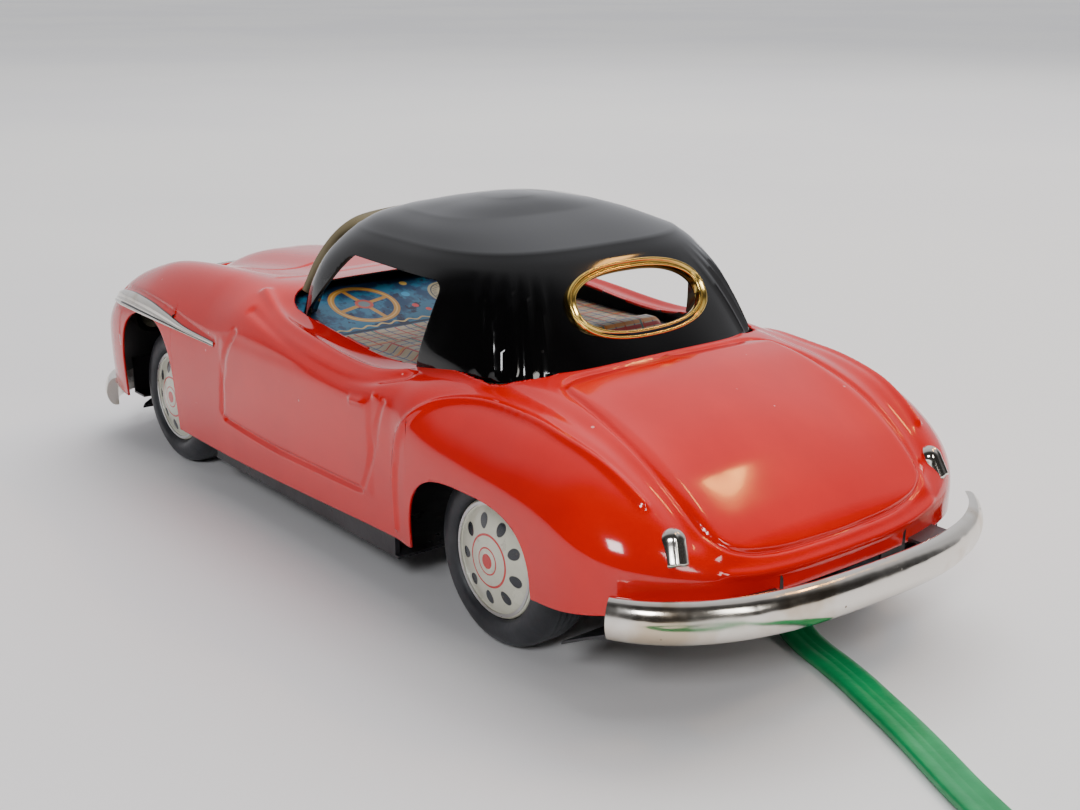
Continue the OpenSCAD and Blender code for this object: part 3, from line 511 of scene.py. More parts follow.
def lathe(profile, centre, axis, steps=96, start=0.0):
    """A profile [radius, along] turned about an axis through centre."""
    axis = Vector(axis).normalized()
    side = axis.orthogonal().normalized()
    other = axis.cross(side)
    profile = np.asarray(profile, float)
    a = full_turn(steps)
    ring = np.cos(a)[:, None] * np.array(side) + np.sin(a)[:, None] * np.array(other)
    points = (np.asarray(centre, float) + profile[:, None, 1:2] * np.array(axis)
              + profile[:, None, 0:1] * ring[None, :, :])
    return points.reshape(-1, 3), grid_quads(len(profile), steps, wrap=True)


# ---------------------------------------------------------------- the control cable
CABLE_WIDTH, CABLE_THICK, LAY_Z = 6.2, 1.8, 0.95
COIL_AT = np.array([-163.5, 63.5])
route = [(-77, -5.8, 8.6), (-78.6, -5.6, 6.4), (-80.6, -5.2, 4.2), (-83.4, -4.5, 2.4), (-87, -3.3, 1.3),
         (-91.5, -1.8, LAY_Z), (-97, -0.2, LAY_Z), (-103, 1.8, LAY_Z), (-109, 4.2, LAY_Z),
         (-115, 6.6, LAY_Z),
         (-121, 9.2, LAY_Z), (-127, 12, LAY_Z), (-133, 14.8, LAY_Z), (-139, 17.3, LAY_Z),
         (-146, 20.2, LAY_Z),
         (-154, 23.6, LAY_Z), (-162, 27, LAY_Z)]
TURNS, START_ANGLE = 3.63, -104.4
turn = np.linspace(0, TURNS, 130)
angle = np.radians(START_ANGLE - 360 * turn)
radius = curve([[0, 34.2], [0.3, 36.8], [0.8, 36.8], [1.2, 31], [2.2, 31], [2.8, 31.6], [3.15, 36.4],
                [3.4, 34.5],
                [TURNS, 30]], turn)
height = curve([[0, LAY_Z], [0.7, LAY_Z], [0.92, 2.7], [1.1, 2.7], [1.3, LAY_Z], [1.75, LAY_Z], [2.0, 2.75],
                [TURNS, 2.75]], turn)
coil = np.stack([COIL_AT[0] + radius * np.cos(angle), COIL_AT[1] + radius * np.sin(angle), height], 1)
tail = [(-135.8, 75.1, 2.0), (-135.6, 71.5, 1.5), (-136.2, 67.7, 1.2), (-137.5, 64.5, 1.1),
        (-139.7, 61.7, 1.1),
        (-142.6, 59.4, 1.4), (-146, 58, 2.0), (-149.6, 57.5, 2.7), (-153, 57.5, 3.3), (-156, 57.5, 3.5)]
cable_path = smooth_line(np.concatenate([np.array(route), coil, np.array(tail)]), 1.6)
out = side_vectors(cable_path, np.tile(UP, (len(cable_path), 1)))
lift = np.cross(out, unit(np.gradient(cable_path, axis=0)))
# a flat ribbon with two raised cores and a line between them
half_w, half_t = CABLE_WIDTH / 2, CABLE_THICK / 2 - 0.05
right = [(half_w - 0.45, -half_t), (half_w - 0.1, -half_t + 0.3), (half_w, 0), (half_w - 0.1, half_t - 0.3),
         (half_w - 0.5, half_t), (half_w - 1.6, half_t), (half_w - 2.3, half_t - 0.22), (0.5, half_t - 0.22)]
left = [(-across, height) for across, height in reversed(right)]
ribbon = left[-1:] + right + [(0, half_t - 0.06)] + left[:-1]
pts, faces = sweep(cable_path, out, lift, ribbon)
cable = add_piece("control_cable_skin", pts, faces, [GREEN],
                  replaces=("control_cable", "cable_coil", "cable_tail"),
                  sharp=50)

# the plug: a rounded body with grip ribs, a sleeve for the cable and two sockets
PLUG_AT = np.array([-170.5, 57.5, 3.5])
PLUG_STEPS = 64
plug_rings = [(-9.0, 0.80), (-8.9, 0.90), (-8.4, 0.97), (-7.4, 1.0), (-2.6, 1.0), (-2.4, 0.95), (-1.7, 0.95),
              (-1.5, 1.0), (-0.9, 1.0), (-0.7, 0.95), (0.0, 0.95), (0.2, 1.0), (0.8, 1.0), (1.0, 0.95),
              (1.7, 0.95),
              (1.9, 1.0), (2.5, 1.0), (2.7, 0.95), (3.4, 0.95), (3.6, 1.0), (7.2, 1.0), (8.4, 0.94),
              (9.0, 0.80),
              (9.1, 0.60)]
loop_y, loop_z = squared_oval(5.5, 3.45, 4.5, PLUG_STEPS)
pts = np.concatenate([PLUG_AT + np.stack([np.full(PLUG_STEPS, along), loop_y * k, loop_z * k], 1)
                      for along, k in plug_rings])
last_ring = (len(plug_rings) - 1) * PLUG_STEPS
faces = grid_quads(len(plug_rings), PLUG_STEPS, wrap=True)
faces += [tuple(range(PLUG_STEPS)), tuple(range(last_ring, last_ring + PLUG_STEPS))]
plug = add_piece("cable_plug_body", pts, faces, [RUBBER], replaces=("cable_plug",),
                 sharp=50)
sleeve_profile = [(0.2, -6.2), (2.6, -6.2), (2.9, -5.4), (2.6, -4.6), (2.75, -3.8), (2.45, -3.0),
                  (2.6, -2.2),
                  (2.3, -1.4), (2.45, -0.6), (2.1, 0.2), (0.2, 0.2)]
pts, faces = lathe(sleeve_profile, PLUG_AT + [14.0, 0, 0], (1, 0, 0), 48)
sleeve = add_piece("cable_plug_sleeve", pts, faces, [RUBBER], sharp=50)
socket_profile = [(0.3, -0.2), (0.5, -0.9), (1.0, -0.9), (1.2, -0.6), (1.2, 0.6), (0.2, 0.6)]
pts, faces = joined([lathe(socket_profile, PLUG_AT + [-8.6, dy, 0], (1, 0, 0), 32) for dy in (-2.2, 2.2)])
pins = add_piece("cable_plug_sockets", pts, faces, [GEAR_BRASS])

# a wire tie round the coil
TIE_STEPS, TIE_ANGLE = 48, math.radians(150)
tie_out = np.array([math.cos(TIE_ANGLE), math.sin(TIE_ANGLE), 0])
tie_across, tie_height = squared_oval(6.7, 1.95, 4, TIE_STEPS)
tie_path = (np.array([*COIL_AT, 2.0]) + tie_out * 34 + tie_across[:, None] * tie_out + tie_height[:, None]
            * UP)
tie_axis = np.tile(np.cross(tie_out, UP), (TIE_STEPS, 1))
pts, faces = sweep(tie_path, side_vectors(tie_path, tie_axis, True), tie_axis,
                   [(-0.15, -1.4), (0.15, -1.4), (0.3, 0), (0.15, 1.4), (-0.15, 1.4)], closed=True)
tie = add_piece("coil_tie", pts, faces, [RUBBER], sharp=60)

# ---------------------------------------------------------------- the pressed body
# Stations along the body, as [X, value]. DECK is the height of the top on the middle line, and FENDER and
# BULGE rise from it. SHOULDER is how square the section is, WIDEST is the height of the widest line, SIDE
# moves that line in or out, and SILL is the lower edge.
DECK = [[-98.5, 27.5], [-90, 33], [-80, 37.4], [-70, 40.8], [-62, 43], [-50, 44.9], [-20, 45.2], [10, 46.5],
        [24, 46.8], [45, 44.8], [57, 43.4], [72, 41.4], [88, 38.6], [96, 37], [103, 35.3]]
FENDER = [[-98.5, 1.5], [-88, 3.2], [-79, 3.4], [-70, 2.6], [-60, 1.6], [-42, 0.1], [-20, -3.9], [0, -3.6],
          [17, -2.2],
          [30, 1.4], [45, 5.2], [68, 6.4], [82, 5.5], [96, 4.8], [103, 4.6]]
BULGE = [[38, 0], [50, 1.6], [66, 2.4], [82, 2.9], [92, 2.4], [97, 0.6], [103, 0]]
SHOULDER = [[-98.5, 2.6], [-75, 3], [-45, 3.1], [-25, 5.5], [15, 5.5], [40, 3.4], [70, 3.2], [103, 3]]
WIDEST = [[-98.5, 20], [-88, 22], [-75, 25], [-60, 26.5], [-30, 28], [70, 28], [88, 25], [103, 22]]
SIDE = [[-98.5, -0.2], [-75, 0], [-50, 0.2], [-38, 0], [-32, -0.8], [0, -1.1], [35, -0.8], [60, 0],
        [80, -0.3],
        [90, -0.9], [103, -1.6]]
SILL = [[-98.5, 18.5], [-90, 18.0], [-79, 16.2], [-71, 15.6], [-39, 13.2], [-30, 12.8], [0, 11.4],
        [30, 10.6],
        [52, 11.2], [82, 12.5], [103, 14]]
HALF_WIDTH, TAIL_X, TAIL_REACH, TAIL_POWER = 43, -75, 23.5, 2.64
NOSE_X, NOSE_REACH, NOSE_POWER = 77, 26, 3.8
WALL_TUCK, ARCH_BASE, ARCH_POWER = 1.4, 14, 3
REAR_AXLE_X, FRONT_AXLE_X, AXLE_Z = -55.5, 64.5, 15.4
# wheel arches: the axle, and [how far forward of it, half length, rise]
ARCHES = ((REAR_AXLE_X, (0.3, 16.9, 14.4)), (FRONT_AXLE_X, (2.7, 13.9, 20.5)))
TIN = 0.5


def width_at(x):
    d = np.where(x < TAIL_X, (TAIL_X - x) / TAIL_REACH, np.where(x > NOSE_X, (x - NOSE_X) / NOSE_REACH, 0))
    n = np.where(x < 0, TAIL_POWER, NOSE_POWER)
    return (HALF_WIDTH + curve(SIDE, x)) * np.maximum(1 - d ** n, 0) ** (1 / n)


def arch_at(x, axle, arch):
    d = np.abs(x - axle - arch[0]) / arch[1]
    return np.where(d >= 1, 0, ARCH_BASE + arch[2] * np.maximum(1 - d ** ARCH_POWER, 0) ** (1 / ARCH_POWER))


def edge_height(x):
    return np.maximum.reduce([curve(SILL, x)] + [arch_at(x, axle, arch) for axle, arch in ARCHES])


def spine_x(x):
    return np.where(x < -50, -50 + (x + 50) * 16 / 48.5, np.where(x > 50, 50 + (x - 50) * 20 / 53, x))


def top_height(x, y):
    return (curve(DECK, x) + curve(FENDER, x) * np.exp(-((np.abs(y) - 34) / 9) ** 2)
            + curve(BULGE, x) * np.exp(-(y / 11) ** 4))


def body_point(x, t):
    """Point of the left half at a station: t is 0 on the middle line, 1 on the widest and more below it."""
    yo, k, zw = np.maximum(width_at(x), 0.4), curve(SHOULDER, x), curve(WIDEST, x)
    upper = np.clip(t, 0, 1)
    r = np.where(t < 1, np.sin(np.pi / 2 * upper) ** (2 / k), 1 - WALL_TUCK * (t - 1) ** 2 / HALF_WIDTH)
    px, py = spine_x(x) + (x - spine_x(x)) * r, yo * r
    top = top_height(px, py)
    z = np.where(t < 1, zw + (top - zw) * np.maximum(np.cos(np.pi / 2 * upper), 0) ** (2 / k),
                 zw - (t - 1) * (zw - 5))
    return px, py, z


def t_at(x, z):
    """The t at which the body comes down to a height."""
    lo, hi = np.full_like(x, 0.02), np.full_like(x, 2.0)
    for _ in range(32):
        m = (lo + hi) / 2
        above = body_point(x, m)[2] > z
        lo, hi = np.where(above, m, lo), np.where(above, hi, m)
    return (lo + hi) / 2


def deck_z(x, y):
    """Height of the body's top at a place between the two end corners."""
    r = np.clip(np.abs(y) / width_at(x), 1e-6, 0.9999)
    k = curve(SHOULDER, x)
    t = np.arcsin(r ** (k / 2)) * 2 / np.pi
    return body_point(x, t)[2]


end_angles = np.radians(np.concatenate([[0.4, 1.2, 2.5, 4.5], np.linspace(6, 88.5, 76)]))
arch_angles = np.radians(np.linspace(0, 180, 44))
ribs = np.concatenate([
    TAIL_X - TAIL_REACH * np.cos(end_angles) ** (2 / TAIL_POWER), np.arange(TAIL_X, NOSE_X + 0.01, 0.5),
    *[axle + shift + reach * spow(np.cos(arch_angles), 2 / ARCH_POWER) for axle,
      (shift, reach, _) in ARCHES],
    [axle + shift + s * (reach + 0.15) for axle, (shift, reach, _) in ARCHES for s in (-1, 1)],
    NOSE_X + NOSE_REACH * np.cos(end_angles) ** (2 / NOSE_POWER)])
ribs = np.unique(np.round(ribs, 3))
ribs = ribs[np.concatenate([[True], np.diff(ribs) > 0.03])]
T_FIXED, UPPER_ROWS, LOWER_ROWS = 0.62, 84, 84
t_end = t_at(ribs, edge_height(ribs))
upper_t = np.linspace(0, T_FIXED, UPPER_ROWS)
lower_t = T_FIXED + (t_end[:, None] - T_FIXED) * np.linspace(0, 1, LOWER_ROWS + 1)[None, 1:]
t_half = np.concatenate([np.tile(upper_t, (len(ribs), 1)), lower_t], 1)
hx, hy, hz = body_point(ribs[:, None], t_half)
hy[:, 0] = 0
gx = np.concatenate([hx[:, :0:-1], hx], 1)
gy = np.concatenate([hy[:, :0:-1], -hy], 1)
gz = np.concatenate([hz[:, :0:-1], hz], 1)
rows, cols = gx.shape
grid = np.stack([gx, gy, gz], 2)

# Pressed lines, drawn for the left side and mirrored. EMBOSS gives [points, width, height], and a negative
# height is a groove.
DOOR_FRONT = [(32.4, 42, 19.6), (31.6, 42, 24), (30.6, 42, 29), (28.2, 42, 34.7), (24.9, 41.5, 39.3)]
DOOR_BOTTOM = [(32.0, 41.8, 19.3), (18, 41.8, 18.2), (5, 41.8, 18.0), (-10, 41.8, 18.3), (-22.5, 41.8, 19)]
DOOR_REAR = [(-22.5, 41.9, 19), (-25.2, 42, 23.9), (-27.3, 42, 30), (-28.9, 42, 35), (-30.2, 41.5, 38)]
BELT = [(27.5, 33, 46.0), (14, 36.5, 43.6), (1.2, 37.5, 41.9), (-16.5, 38, 40.7), (-24.9, 37.5, 41.1),
        (-29.4, 35.8, 42.2)]
BELT_LOW = [(24, 38.4, 43.6), (6, 39.8, 39.6), (-12, 40.3, 38.0), (-22, 40, 38.4), (-27.5, 38.8, 39.8),
            (-30.5, 36.6, 41.6)]
HANDLE = [(-18.9, 42, 35.4), (-21.6, 42, 35.5), (-24.2, 42, 35.8)]
KEYHOLE = [(-26.6, 42, 37.4), (-26.9, 42, 38.2)]
REAR_FENDER = [(-33.7, 42, 14.6), (-33.4, 42, 20.7), (-34.1, 42, 26.4), (-35.6, 42, 32.2), (-38.6, 41, 36.5),
               (-43.3, 38.6, 40.2), (-50, 36.6, 42.6), (-60, 35.6, 43), (-70, 34.8, 40.6),
               (-80, 33.4, 36.8), (-87, 32.2, 33)]
FENDER_VALLEY = [(-47, 31.5, 43.4), (-56, 30.6, 43.5), (-66, 30.0, 41.5), (-76, 29.6, 38), (-86, 28.6, 33),
                 (-92.5, 27.4, 28)]
TRUNK = [(-56.5, 0, 44.4), (-56.3, 14, 44.2), (-55.6, 21.5, 44), (-57.5, 24.6, 43.4), (-64, 25.6, 42),
         (-76, 26.4, 38),
         (-87, 26.0, 32), (-92.6, 24.4, 26.6), (-94.6, 21, 25.0), (-96.4, 14, 24.4), (-97.2, 0, 24.2)]
TRUNK_LIP = [(-95.2, 25, 22.8), (-96.9, 20, 22.2), (-98.0, 12, 21.8), (-98.4, 0, 21.7)]
HOOD = [(92, 17.4, 37.6), (80, 18, 39.8), (63, 18, 42.6), (54, 17.6, 43.6), (49.4, 15.2, 44.6),
        (48, 11, 45.4), (47.6, 0, 46)]
COWL = [(34, 27, 46), (33.2, 20, 46.4), (33, 10, 46.6), (33, 0, 46.6)]
FRONT_CREASE = [(33.2, 42.2, 35.4), (44, 42.5, 36.6), (56, 42, 38.2), (68, 41.4, 39.0), (80, 40, 38.6),
                (90, 37.5, 37)]
EMBOSS = [
    (DOOR_FRONT, 0.62, -0.45), (DOOR_BOTTOM, 0.52, -0.75), (DOOR_REAR, 0.42, -0.34), (BELT, 1.2, 0.80),
    (BELT_LOW, 1.1, -0.42), (HANDLE, 0.6, 0.66), (KEYHOLE, 0.45, 0.35), (REAR_FENDER, 0.72, 0.70),
    (FENDER_VALLEY, 2.2, -0.60), (TRUNK, 0.45, -0.50), (TRUNK_LIP, 0.8, 0.35), (HOOD, 0.5, -0.40),
          (COWL, 0.8, 0.22),
    (FRONT_CREASE, 0.6, -0.28)]

# Unit normals of the grid
du, dv = np.gradient(grid, axis=0), np.gradient(grid, axis=1)
normal = np.cross(dv, du)
normal /= np.maximum(np.linalg.norm(normal, axis=2), 1e-9)[:, :, None]
if normal[rows // 2, cols // 2, 2] < 0:
    normal = -normal
flat, flat_n = grid.reshape(-1, 3), normal.reshape(-1, 3)
surface = nearest_finder(flat)
press = np.zeros(len(flat))

def snap(line):
    """The line's points carried onto the body surface and smoothed."""
    on = np.array([surface.find(p)[0] for p in line])
    return averaged(on, 19)


for points, line_width, line_height in EMBOSS:
    for mirror in (1, -1):
        line = snap(smooth_line(np.array(points, float) * [1, mirror, 1], 0.35))
        tree = nearest_finder(line)
        reach = 3.2 * line_width
        low, high = line.min(0) - reach, line.max(0) + reach
        near = np.nonzero(((flat > low) & (flat < high)).all(1))[0]
        d = np.array([tree.find(flat[i])[2] for i in near])
        value = line_height * np.exp(-(d / line_width) ** 2)
        if abs(points[-1][1]) < 0.01 or abs(points[0][1]) < 0.01:
            # a line that crosses the middle is drawn once
            keep = flat[near, 1] * mirror >= 0
            value = np.where(keep, value, 0)
        press[near] += value
# the trunk lid stands a little proud inside its groove, and the door inside its own
lid = (smoothstep(-97.5, -94, flat[:, 0]) * (1 - smoothstep(-59, -56, flat[:, 0]))
       * (1 - smoothstep(23.6, 26.2, np.abs(flat[:, 1]))) * smoothstep(23.5, 25.5, flat[:, 2]))
press += 0.45 * lid
door = (smoothstep(-26.5, -24.5, flat[:, 0]) * (1 - smoothstep(29.5, 32, flat[:, 0]))
        * smoothstep(18.2, 19.6, flat[:, 2]) * (1 - smoothstep(35, 37.5, flat[:, 2]))
        * (np.abs(flat[:, 1]) > 38))
press += 0.22 * door
flat = flat + flat_n * press[:, None]
flat[:, 2] = np.minimum(flat[:, 2], 66)

# The cabin opening: points just inside its outline are drawn onto it, and faces within it are left out
CABIN_AT, CABIN_HALF, CABIN_ROUND = np.array([-14.25, 0]), np.array([38.75, 32.2]), 10


def cabin_distance(xy):
    q = np.abs(xy - CABIN_AT) - (CABIN_HALF - CABIN_ROUND)
    return np.linalg.norm(np.maximum(q, 0), axis=1) + np.minimum(q.max(axis=1), 0) - CABIN_ROUND


d = cabin_distance(flat[:, :2])
inside = ((d < 0) & (flat[:, 2] > 36)).reshape(rows, cols)
ring = inside.copy()
ring[1:-1, 1:-1] &= ~(inside[2:, 1:-1] & inside[:-2, 1:-1] & inside[1:-1, 2:] & inside[1:-1, :-2]
                      & inside[2:, 2:] & inside[:-2, :-2] & inside[2:, :-2] & inside[:-2, 2:])
ring_i = np.nonzero(ring.ravel())[0]
STEP_OFF = 0.05
for _ in range(3):
    xy = flat[ring_i, :2]
    here = cabin_distance(xy)
    slope_x = cabin_distance(xy + [STEP_OFF, 0]) - here
    slope_y = cabin_distance(xy + [0, STEP_OFF]) - here
    flat[ring_i, :2] = xy - np.stack([slope_x, slope_y], 1) / STEP_OFF * here[:, None]
hole = inside & ~ring
quads = np.array(grid_quads(rows, cols))
keep = ~hole.ravel()[quads].any(axis=1)
all_ring = ring.ravel()[quads].all(axis=1)
faces = quads[keep & ~all_ring].tolist()
for end in (0, rows - 1):
    base = end * cols
    middle = (cols - 1) // 2
    faces += [(base + j, base + j + 1, base + cols - 2 - j, base + cols - 1 - j) for j in range(middle - 1)]
    faces.append((base + middle - 1, base + middle, base + middle + 1))
body = add_piece("body_skin", flat, faces, [RED, INNER_PAINTED_SHADE], replaces=("body_shell",),
                 sharp=0, outward=(0, 0, 1))
bm = bmesh.new()
bm.from_mesh(body.data)
bmesh.ops.delete(bm, geom=[v for v in bm.verts if not v.link_faces], context="VERTS")
bmesh.ops.recalc_face_normals(bm, faces=bm.faces)
top = max(bm.faces, key=lambda f: f.calc_center_median().z)
if top.normal.z < 0:
    bmesh.ops.reverse_faces(bm, faces=bm.faces)
bm.to_mesh(body.data)
bm.free()
body.data.shade_smooth()
# the inner face takes the near-black painted shade
give_wall(body, TIN, inner_material=1)

# ---------------------------------------------------------------- the roof
# levels: [height, rear X, front X, half width, squareness at the rear, squareness at the front]
ROOF = [[42.3, -56.4, 21, 33.2, 3.6, 7], [45, -54.6, 19.8, 32.9, 3.6, 7], [50, -51, 17.6, 32, 3.6, 7],
        [55, -47, 15, 30.9, 3.5, 6], [59, -43.3, 13, 28.8, 3.4, 4.6], [61.3, -40.2, 11.6, 26.6, 3.3, 4],
        [63.3, -31, 8.4, 23, 3.1, 3.8], [64.8, -23.5, 4.4, 18.5, 3, 3.2], [66, -19, -0.7, 12, 2.6, 2.6],
        [66.8, -15, -6, 5, 2.2, 2.2]]
ROOF_CREASES = (0, 5, 7, 9)      # the levels where the roof has an edge
ROOF_APEX = (-11, 0, 67)
ROOF_TIN = 0.7
ROOF_STEPS = 280
# folds where the rear corners were drawn in: [degrees round the corner, width, height]
ROOF_FOLDS = ((33.0, 0.9, 0.45), (37.0, 1.0, 0.75), (41.2, 1.1, 0.95), (45.6, 1.1, 0.80), (50.0, 1.2, 0.45))
FOLD_CENTRE_X = -17.0


def roof_level(u):
    """The roof's values at a level number, smooth between two creases."""
    low, high = next(r for r in zip(ROOF_CREASES, ROOF_CREASES[1:]) if u <= r[1] + 1e-9)
    return [curve([[i, ROOF[i][c]] for i in range(low, high + 1)], u) for c in range(6)]


levels = np.array([roof_level(u) for u in np.linspace(0, ROOF_CREASES[-1], 82)])
theta = full_turn(ROOF_STEPS)


def roof_ring(level, inset):
    z, rear, front, half, n_rear, n_front = level
    a, c, b = (front - rear) / 2 - inset, (front + rear) / 2, half - inset
    cs, sn = np.cos(theta), np.sin(theta)
    n = np.where(cs < 0, n_rear, n_front)
    r = (np.abs(cs / a) ** n + np.abs(sn / b) ** n) ** (-1 / n)
    return np.stack([c + r * cs, r * sn, np.full(ROOF_STEPS, z - inset)], 1)


def roof_skin(inset):
    """Rings of the roof, with its foot carried below the body's top and its rear corners folded."""
    rings = np.array([roof_ring(level, inset) for level in levels])
    foot_x, foot_y, foot_z = rings[0].T.copy()
    tucked = np.minimum(foot_z, deck_z(np.clip(foot_x, -49.9, 49.9), foot_y) - 1.2)
    rings[0, :, 2] = np.where(foot_x > -49.5, tucked, foot_z - 1.2)
    x, y, z = rings[..., 0], rings[..., 1], rings[..., 2]
    around = np.degrees(np.arctan2(np.abs(y), FOLD_CENTRE_X - x))
    fold = np.zeros_like(x)
    for place_at, width, height in ROOF_FOLDS:
        drift = place_at + (z - 44) * 0.10
        fold += height * np.exp(-((around - drift) / width) ** 2)
    fold *= (1 - smoothstep(53, 60, z)) * smoothstep(41, 44.5, z)
    dents = 0.25 * np.exp(-((x + 33) / 4) ** 2 - ((z - 52) / 5) ** 2) * (np.abs(y) > 26)
    rear_corner = (x < -28) & (np.abs(y) > 15)
    outward = np.stack([x - FOLD_CENTRE_X, y], -1)
    outward /= np.maximum(np.linalg.norm(outward, axis=-1), 1e-6)[..., None]
    rings[..., :2] += outward * (np.where(rear_corner, fold, 0) - dents)[..., None]
    return rings


outer, inner = roof_skin(0), roof_skin(ROOF_TIN)
inner[0, :, 2] = outer[0, :, 2]
n_levels = len(levels)
pts = np.concatenate([outer.reshape(-1, 3), [ROOF_APEX], inner.reshape(-1, 3),
                      [np.array(ROOF_APEX) - [0, 0, ROOF_TIN]]])
half_count = n_levels * ROOF_STEPS + 1
faces = grid_quads(n_levels, ROOF_STEPS, 0, wrap=True)
faces += [(f[3], f[2], f[1], f[0]) for f in grid_quads(n_levels, ROOF_STEPS, half_count, wrap=True)]
last = (n_levels - 1) * ROOF_STEPS
for j in range(ROOF_STEPS):
    k = (j + 1) % ROOF_STEPS
    faces.append((last + j, last + k, half_count - 1))
    faces.append((half_count + last + k, half_count + last + j, 2 * half_count - 1))
    faces.append((k, j, half_count + j, half_count + k))
roof = add_piece("roof_skin", pts, faces, [BLACK], replaces=("roof_shell",), sharp=0)


def cutter(points, faces):
    mesh = bpy.data.meshes.new("cutter")
    mesh.from_pydata((np.asarray(points) * MM).tolist(), [], faces)
    mesh.update()
    bm = bmesh.new()
    bm.from_mesh(mesh)
    bmesh.ops.recalc_face_normals(bm, faces=bm.faces)
    bm.to_mesh(mesh)
    bm.free()
    obj = bpy.data.objects.new("cutter", mesh)
    bpy.context.scene.collection.objects.link(obj)
    return obj


def prism(loop, vector):
    loop = np.asarray(loop, float)
    n = len(loop)
    return cutter(np.concatenate([loop, loop + vector]),
                  [tuple(range(n)), tuple(range(n, 2 * n))]
                  + [(j, (j + 1) % n, n + (j + 1) % n, n + j) for j in range(n)])


def rounded(polygon, radius, steps=6):
    """Polygon with each corner rounded by a short curve."""
    p = np.asarray(polygon, float)
    out = []
    for i in range(len(p)):
        a, b, c = p[i - 1], p[i], p[(i + 1) % len(p)]
        ra = min(radius, np.linalg.norm(a - b) / 2.2)
        rc = min(radius, np.linalg.norm(c - b) / 2.2)
        s, e = b + (a - b) / np.linalg.norm(a - b) * ra, b + (c - b) / np.linalg.norm(c - b) * rc
        out += [(1 - t) ** 2 * s + 2 * t * (1 - t) * b + t * t * e for t in np.linspace(0, 1, steps)]
    return np.array(out)


SIDE_WINDOW = rounded([(13.2, 38), (12.0, 44.2), (-1.6, 57.2), (-29.4, 56.8), (-30.8, 55.4), (-26.6, 38)],
                      1.4)
SCREEN_FOOT, SCREEN_TILT = np.array([21, 0, 46]), math.radians(25)
SCREEN_UP = np.array([-math.sin(SCREEN_TILT), 0, math.cos(SCREEN_TILT)])
SCREEN_OUT = np.array([math.cos(SCREEN_TILT), 0, math.sin(SCREEN_TILT)])
screen = rounded([(-26.8, -5.5), (26.8, -5.5), (22.6, 14.6), (-22.6, 14.6)], 3.0)
WINDOW_AT, WINDOW_TILT = np.array([-48.6, 0, 52.9]), math.radians(33)
WINDOW_UP = np.array([math.sin(WINDOW_TILT), 0, math.cos(WINDOW_TILT)])
WINDOW_OUT = np.array([-math.cos(WINDOW_TILT), 0, math.sin(WINDOW_TILT)])


def window_loop(a, b, n, steps):
    across, height = squared_oval(a, b, n, steps)
    return WINDOW_AT + across[:, None] * np.array([0, 1.0, 0]) + height[:, None] * WINDOW_UP


cutters = [
    prism(np.stack([SIDE_WINDOW[:, 0], np.full(len(SIDE_WINDOW), -40), SIDE_WINDOW[:, 1]], 1),
          np.array([0, 80, 0])),
    prism(SCREEN_FOOT + screen[:, 0:1] * np.array([0, 1.0, 0]) + screen[:, 1:2] * SCREEN_UP - SCREEN_OUT
          * 9, SCREEN_OUT * 14),
    prism(window_loop(14.5, 6.1, 2.4, 64) - WINDOW_OUT * 6, WINDOW_OUT * 12)]
for c in cutters:
    cut = roof.modifiers.new("opening", "BOOLEAN")
    cut.object, cut.operation, cut.solver = c, "DIFFERENCE", "EXACT"
bevel = roof.modifiers.new("rolled", "BEVEL")
bevel.width, bevel.segments, bevel.limit_method, bevel.angle_limit = 0.16 * MM, 2, "ANGLE", math.radians(50)
apply_modifiers(roof)
for c in cutters:
    bpy.data.objects.remove(c)
roof.data.shade_smooth()
roof.data.set_sharp_from_angle(angle=math.radians(40))

# The brass rim of the rear window: two rolled lines with a groove between
RIM_SECTION = [(-0.8, -0.9), (-0.85, 0.35), (-0.7, 0.62), (-0.5, 0.7), (-0.3, 0.6), (-0.15, 0.36), (0, 0.3),
               (0.12, 0.38), (0.3, 0.74), (0.52, 0.84), (0.75, 0.7), (0.85, 0.3), (0.8, -0.9)]
RIM_STEPS = 140
path = window_loop(15.0, 6.5, 2.4, RIM_STEPS)
out_axis = np.tile(WINDOW_OUT, (RIM_STEPS, 1))
across = facing_away(side_vectors(path, out_axis, closed=True), path, WINDOW_AT)
pts, faces = sweep(path, across, out_axis, RIM_SECTION, closed=True)
add_piece("rear_window_trim", pts, faces, [BRASS], replaces=("rear_window_rim",),
          sharp=60)

# The windshield trim: a strip that climbs each pillar and bows forward over the header
half = [(22.7, 26.2, 45.4), (22.3, 25.4, 47.4), (20.9, 24.2, 51.2), (18.4, 23.0, 55), (15.9, 21.6, 58.0),
        (14.4, 19.4, 59.9), (14.3, 16, 60.7), (14.9, 10, 61.1), (15.3, 5, 61.3)]
line = smooth_line(half + [(15.4, 0, 61.35)] + [(x, -y, z) for x, y, z in half[::-1]], 0.6)
along = unit(np.gradient(line, axis=0))
face = unit(SCREEN_OUT - along * (along @ SCREEN_OUT)[:, None])
across = facing_away(np.cross(along, face), line, SCREEN_FOOT + SCREEN_UP * 7.5)
pts, faces = sweep(line, across, face, [(-1.0, -1.3), (-1.05, 0.1), (-0.7, 0.42), (-0.2, 0.22), (0.25, 0.44),
                                        (0.85, 0.42), (1.1, 0.05), (1.0, -1.9)])
add_piece("windshield_trim", pts, faces, [PALE_BRASS], replaces=("windshield_frame",),
          sharp=60)

# ---------------------------------------------------------------- bumpers
BUMPER_REACH, BUMPER_X = 31.5, 74.2
BAR_TOP = [(-1.35, 3.3), (-0.95, 3.36), (-0.4, 3.28), (0.2, 2.95), (0.72, 2.3), (1.05, 1.55), (1.24, 0.75)]
BAR_FACE = BAR_TOP + [(1.3, 0)] + [(out, -height) for out, height in BAR_TOP[::-1]]
BAR_HOLLOW = [(-1.05, -2.7), (-0.55, -1.9), (-0.2, -0.8), (-0.15, 0), (-0.2, 0.8), (-0.55, 1.9),
              (-1.05, 2.7)]


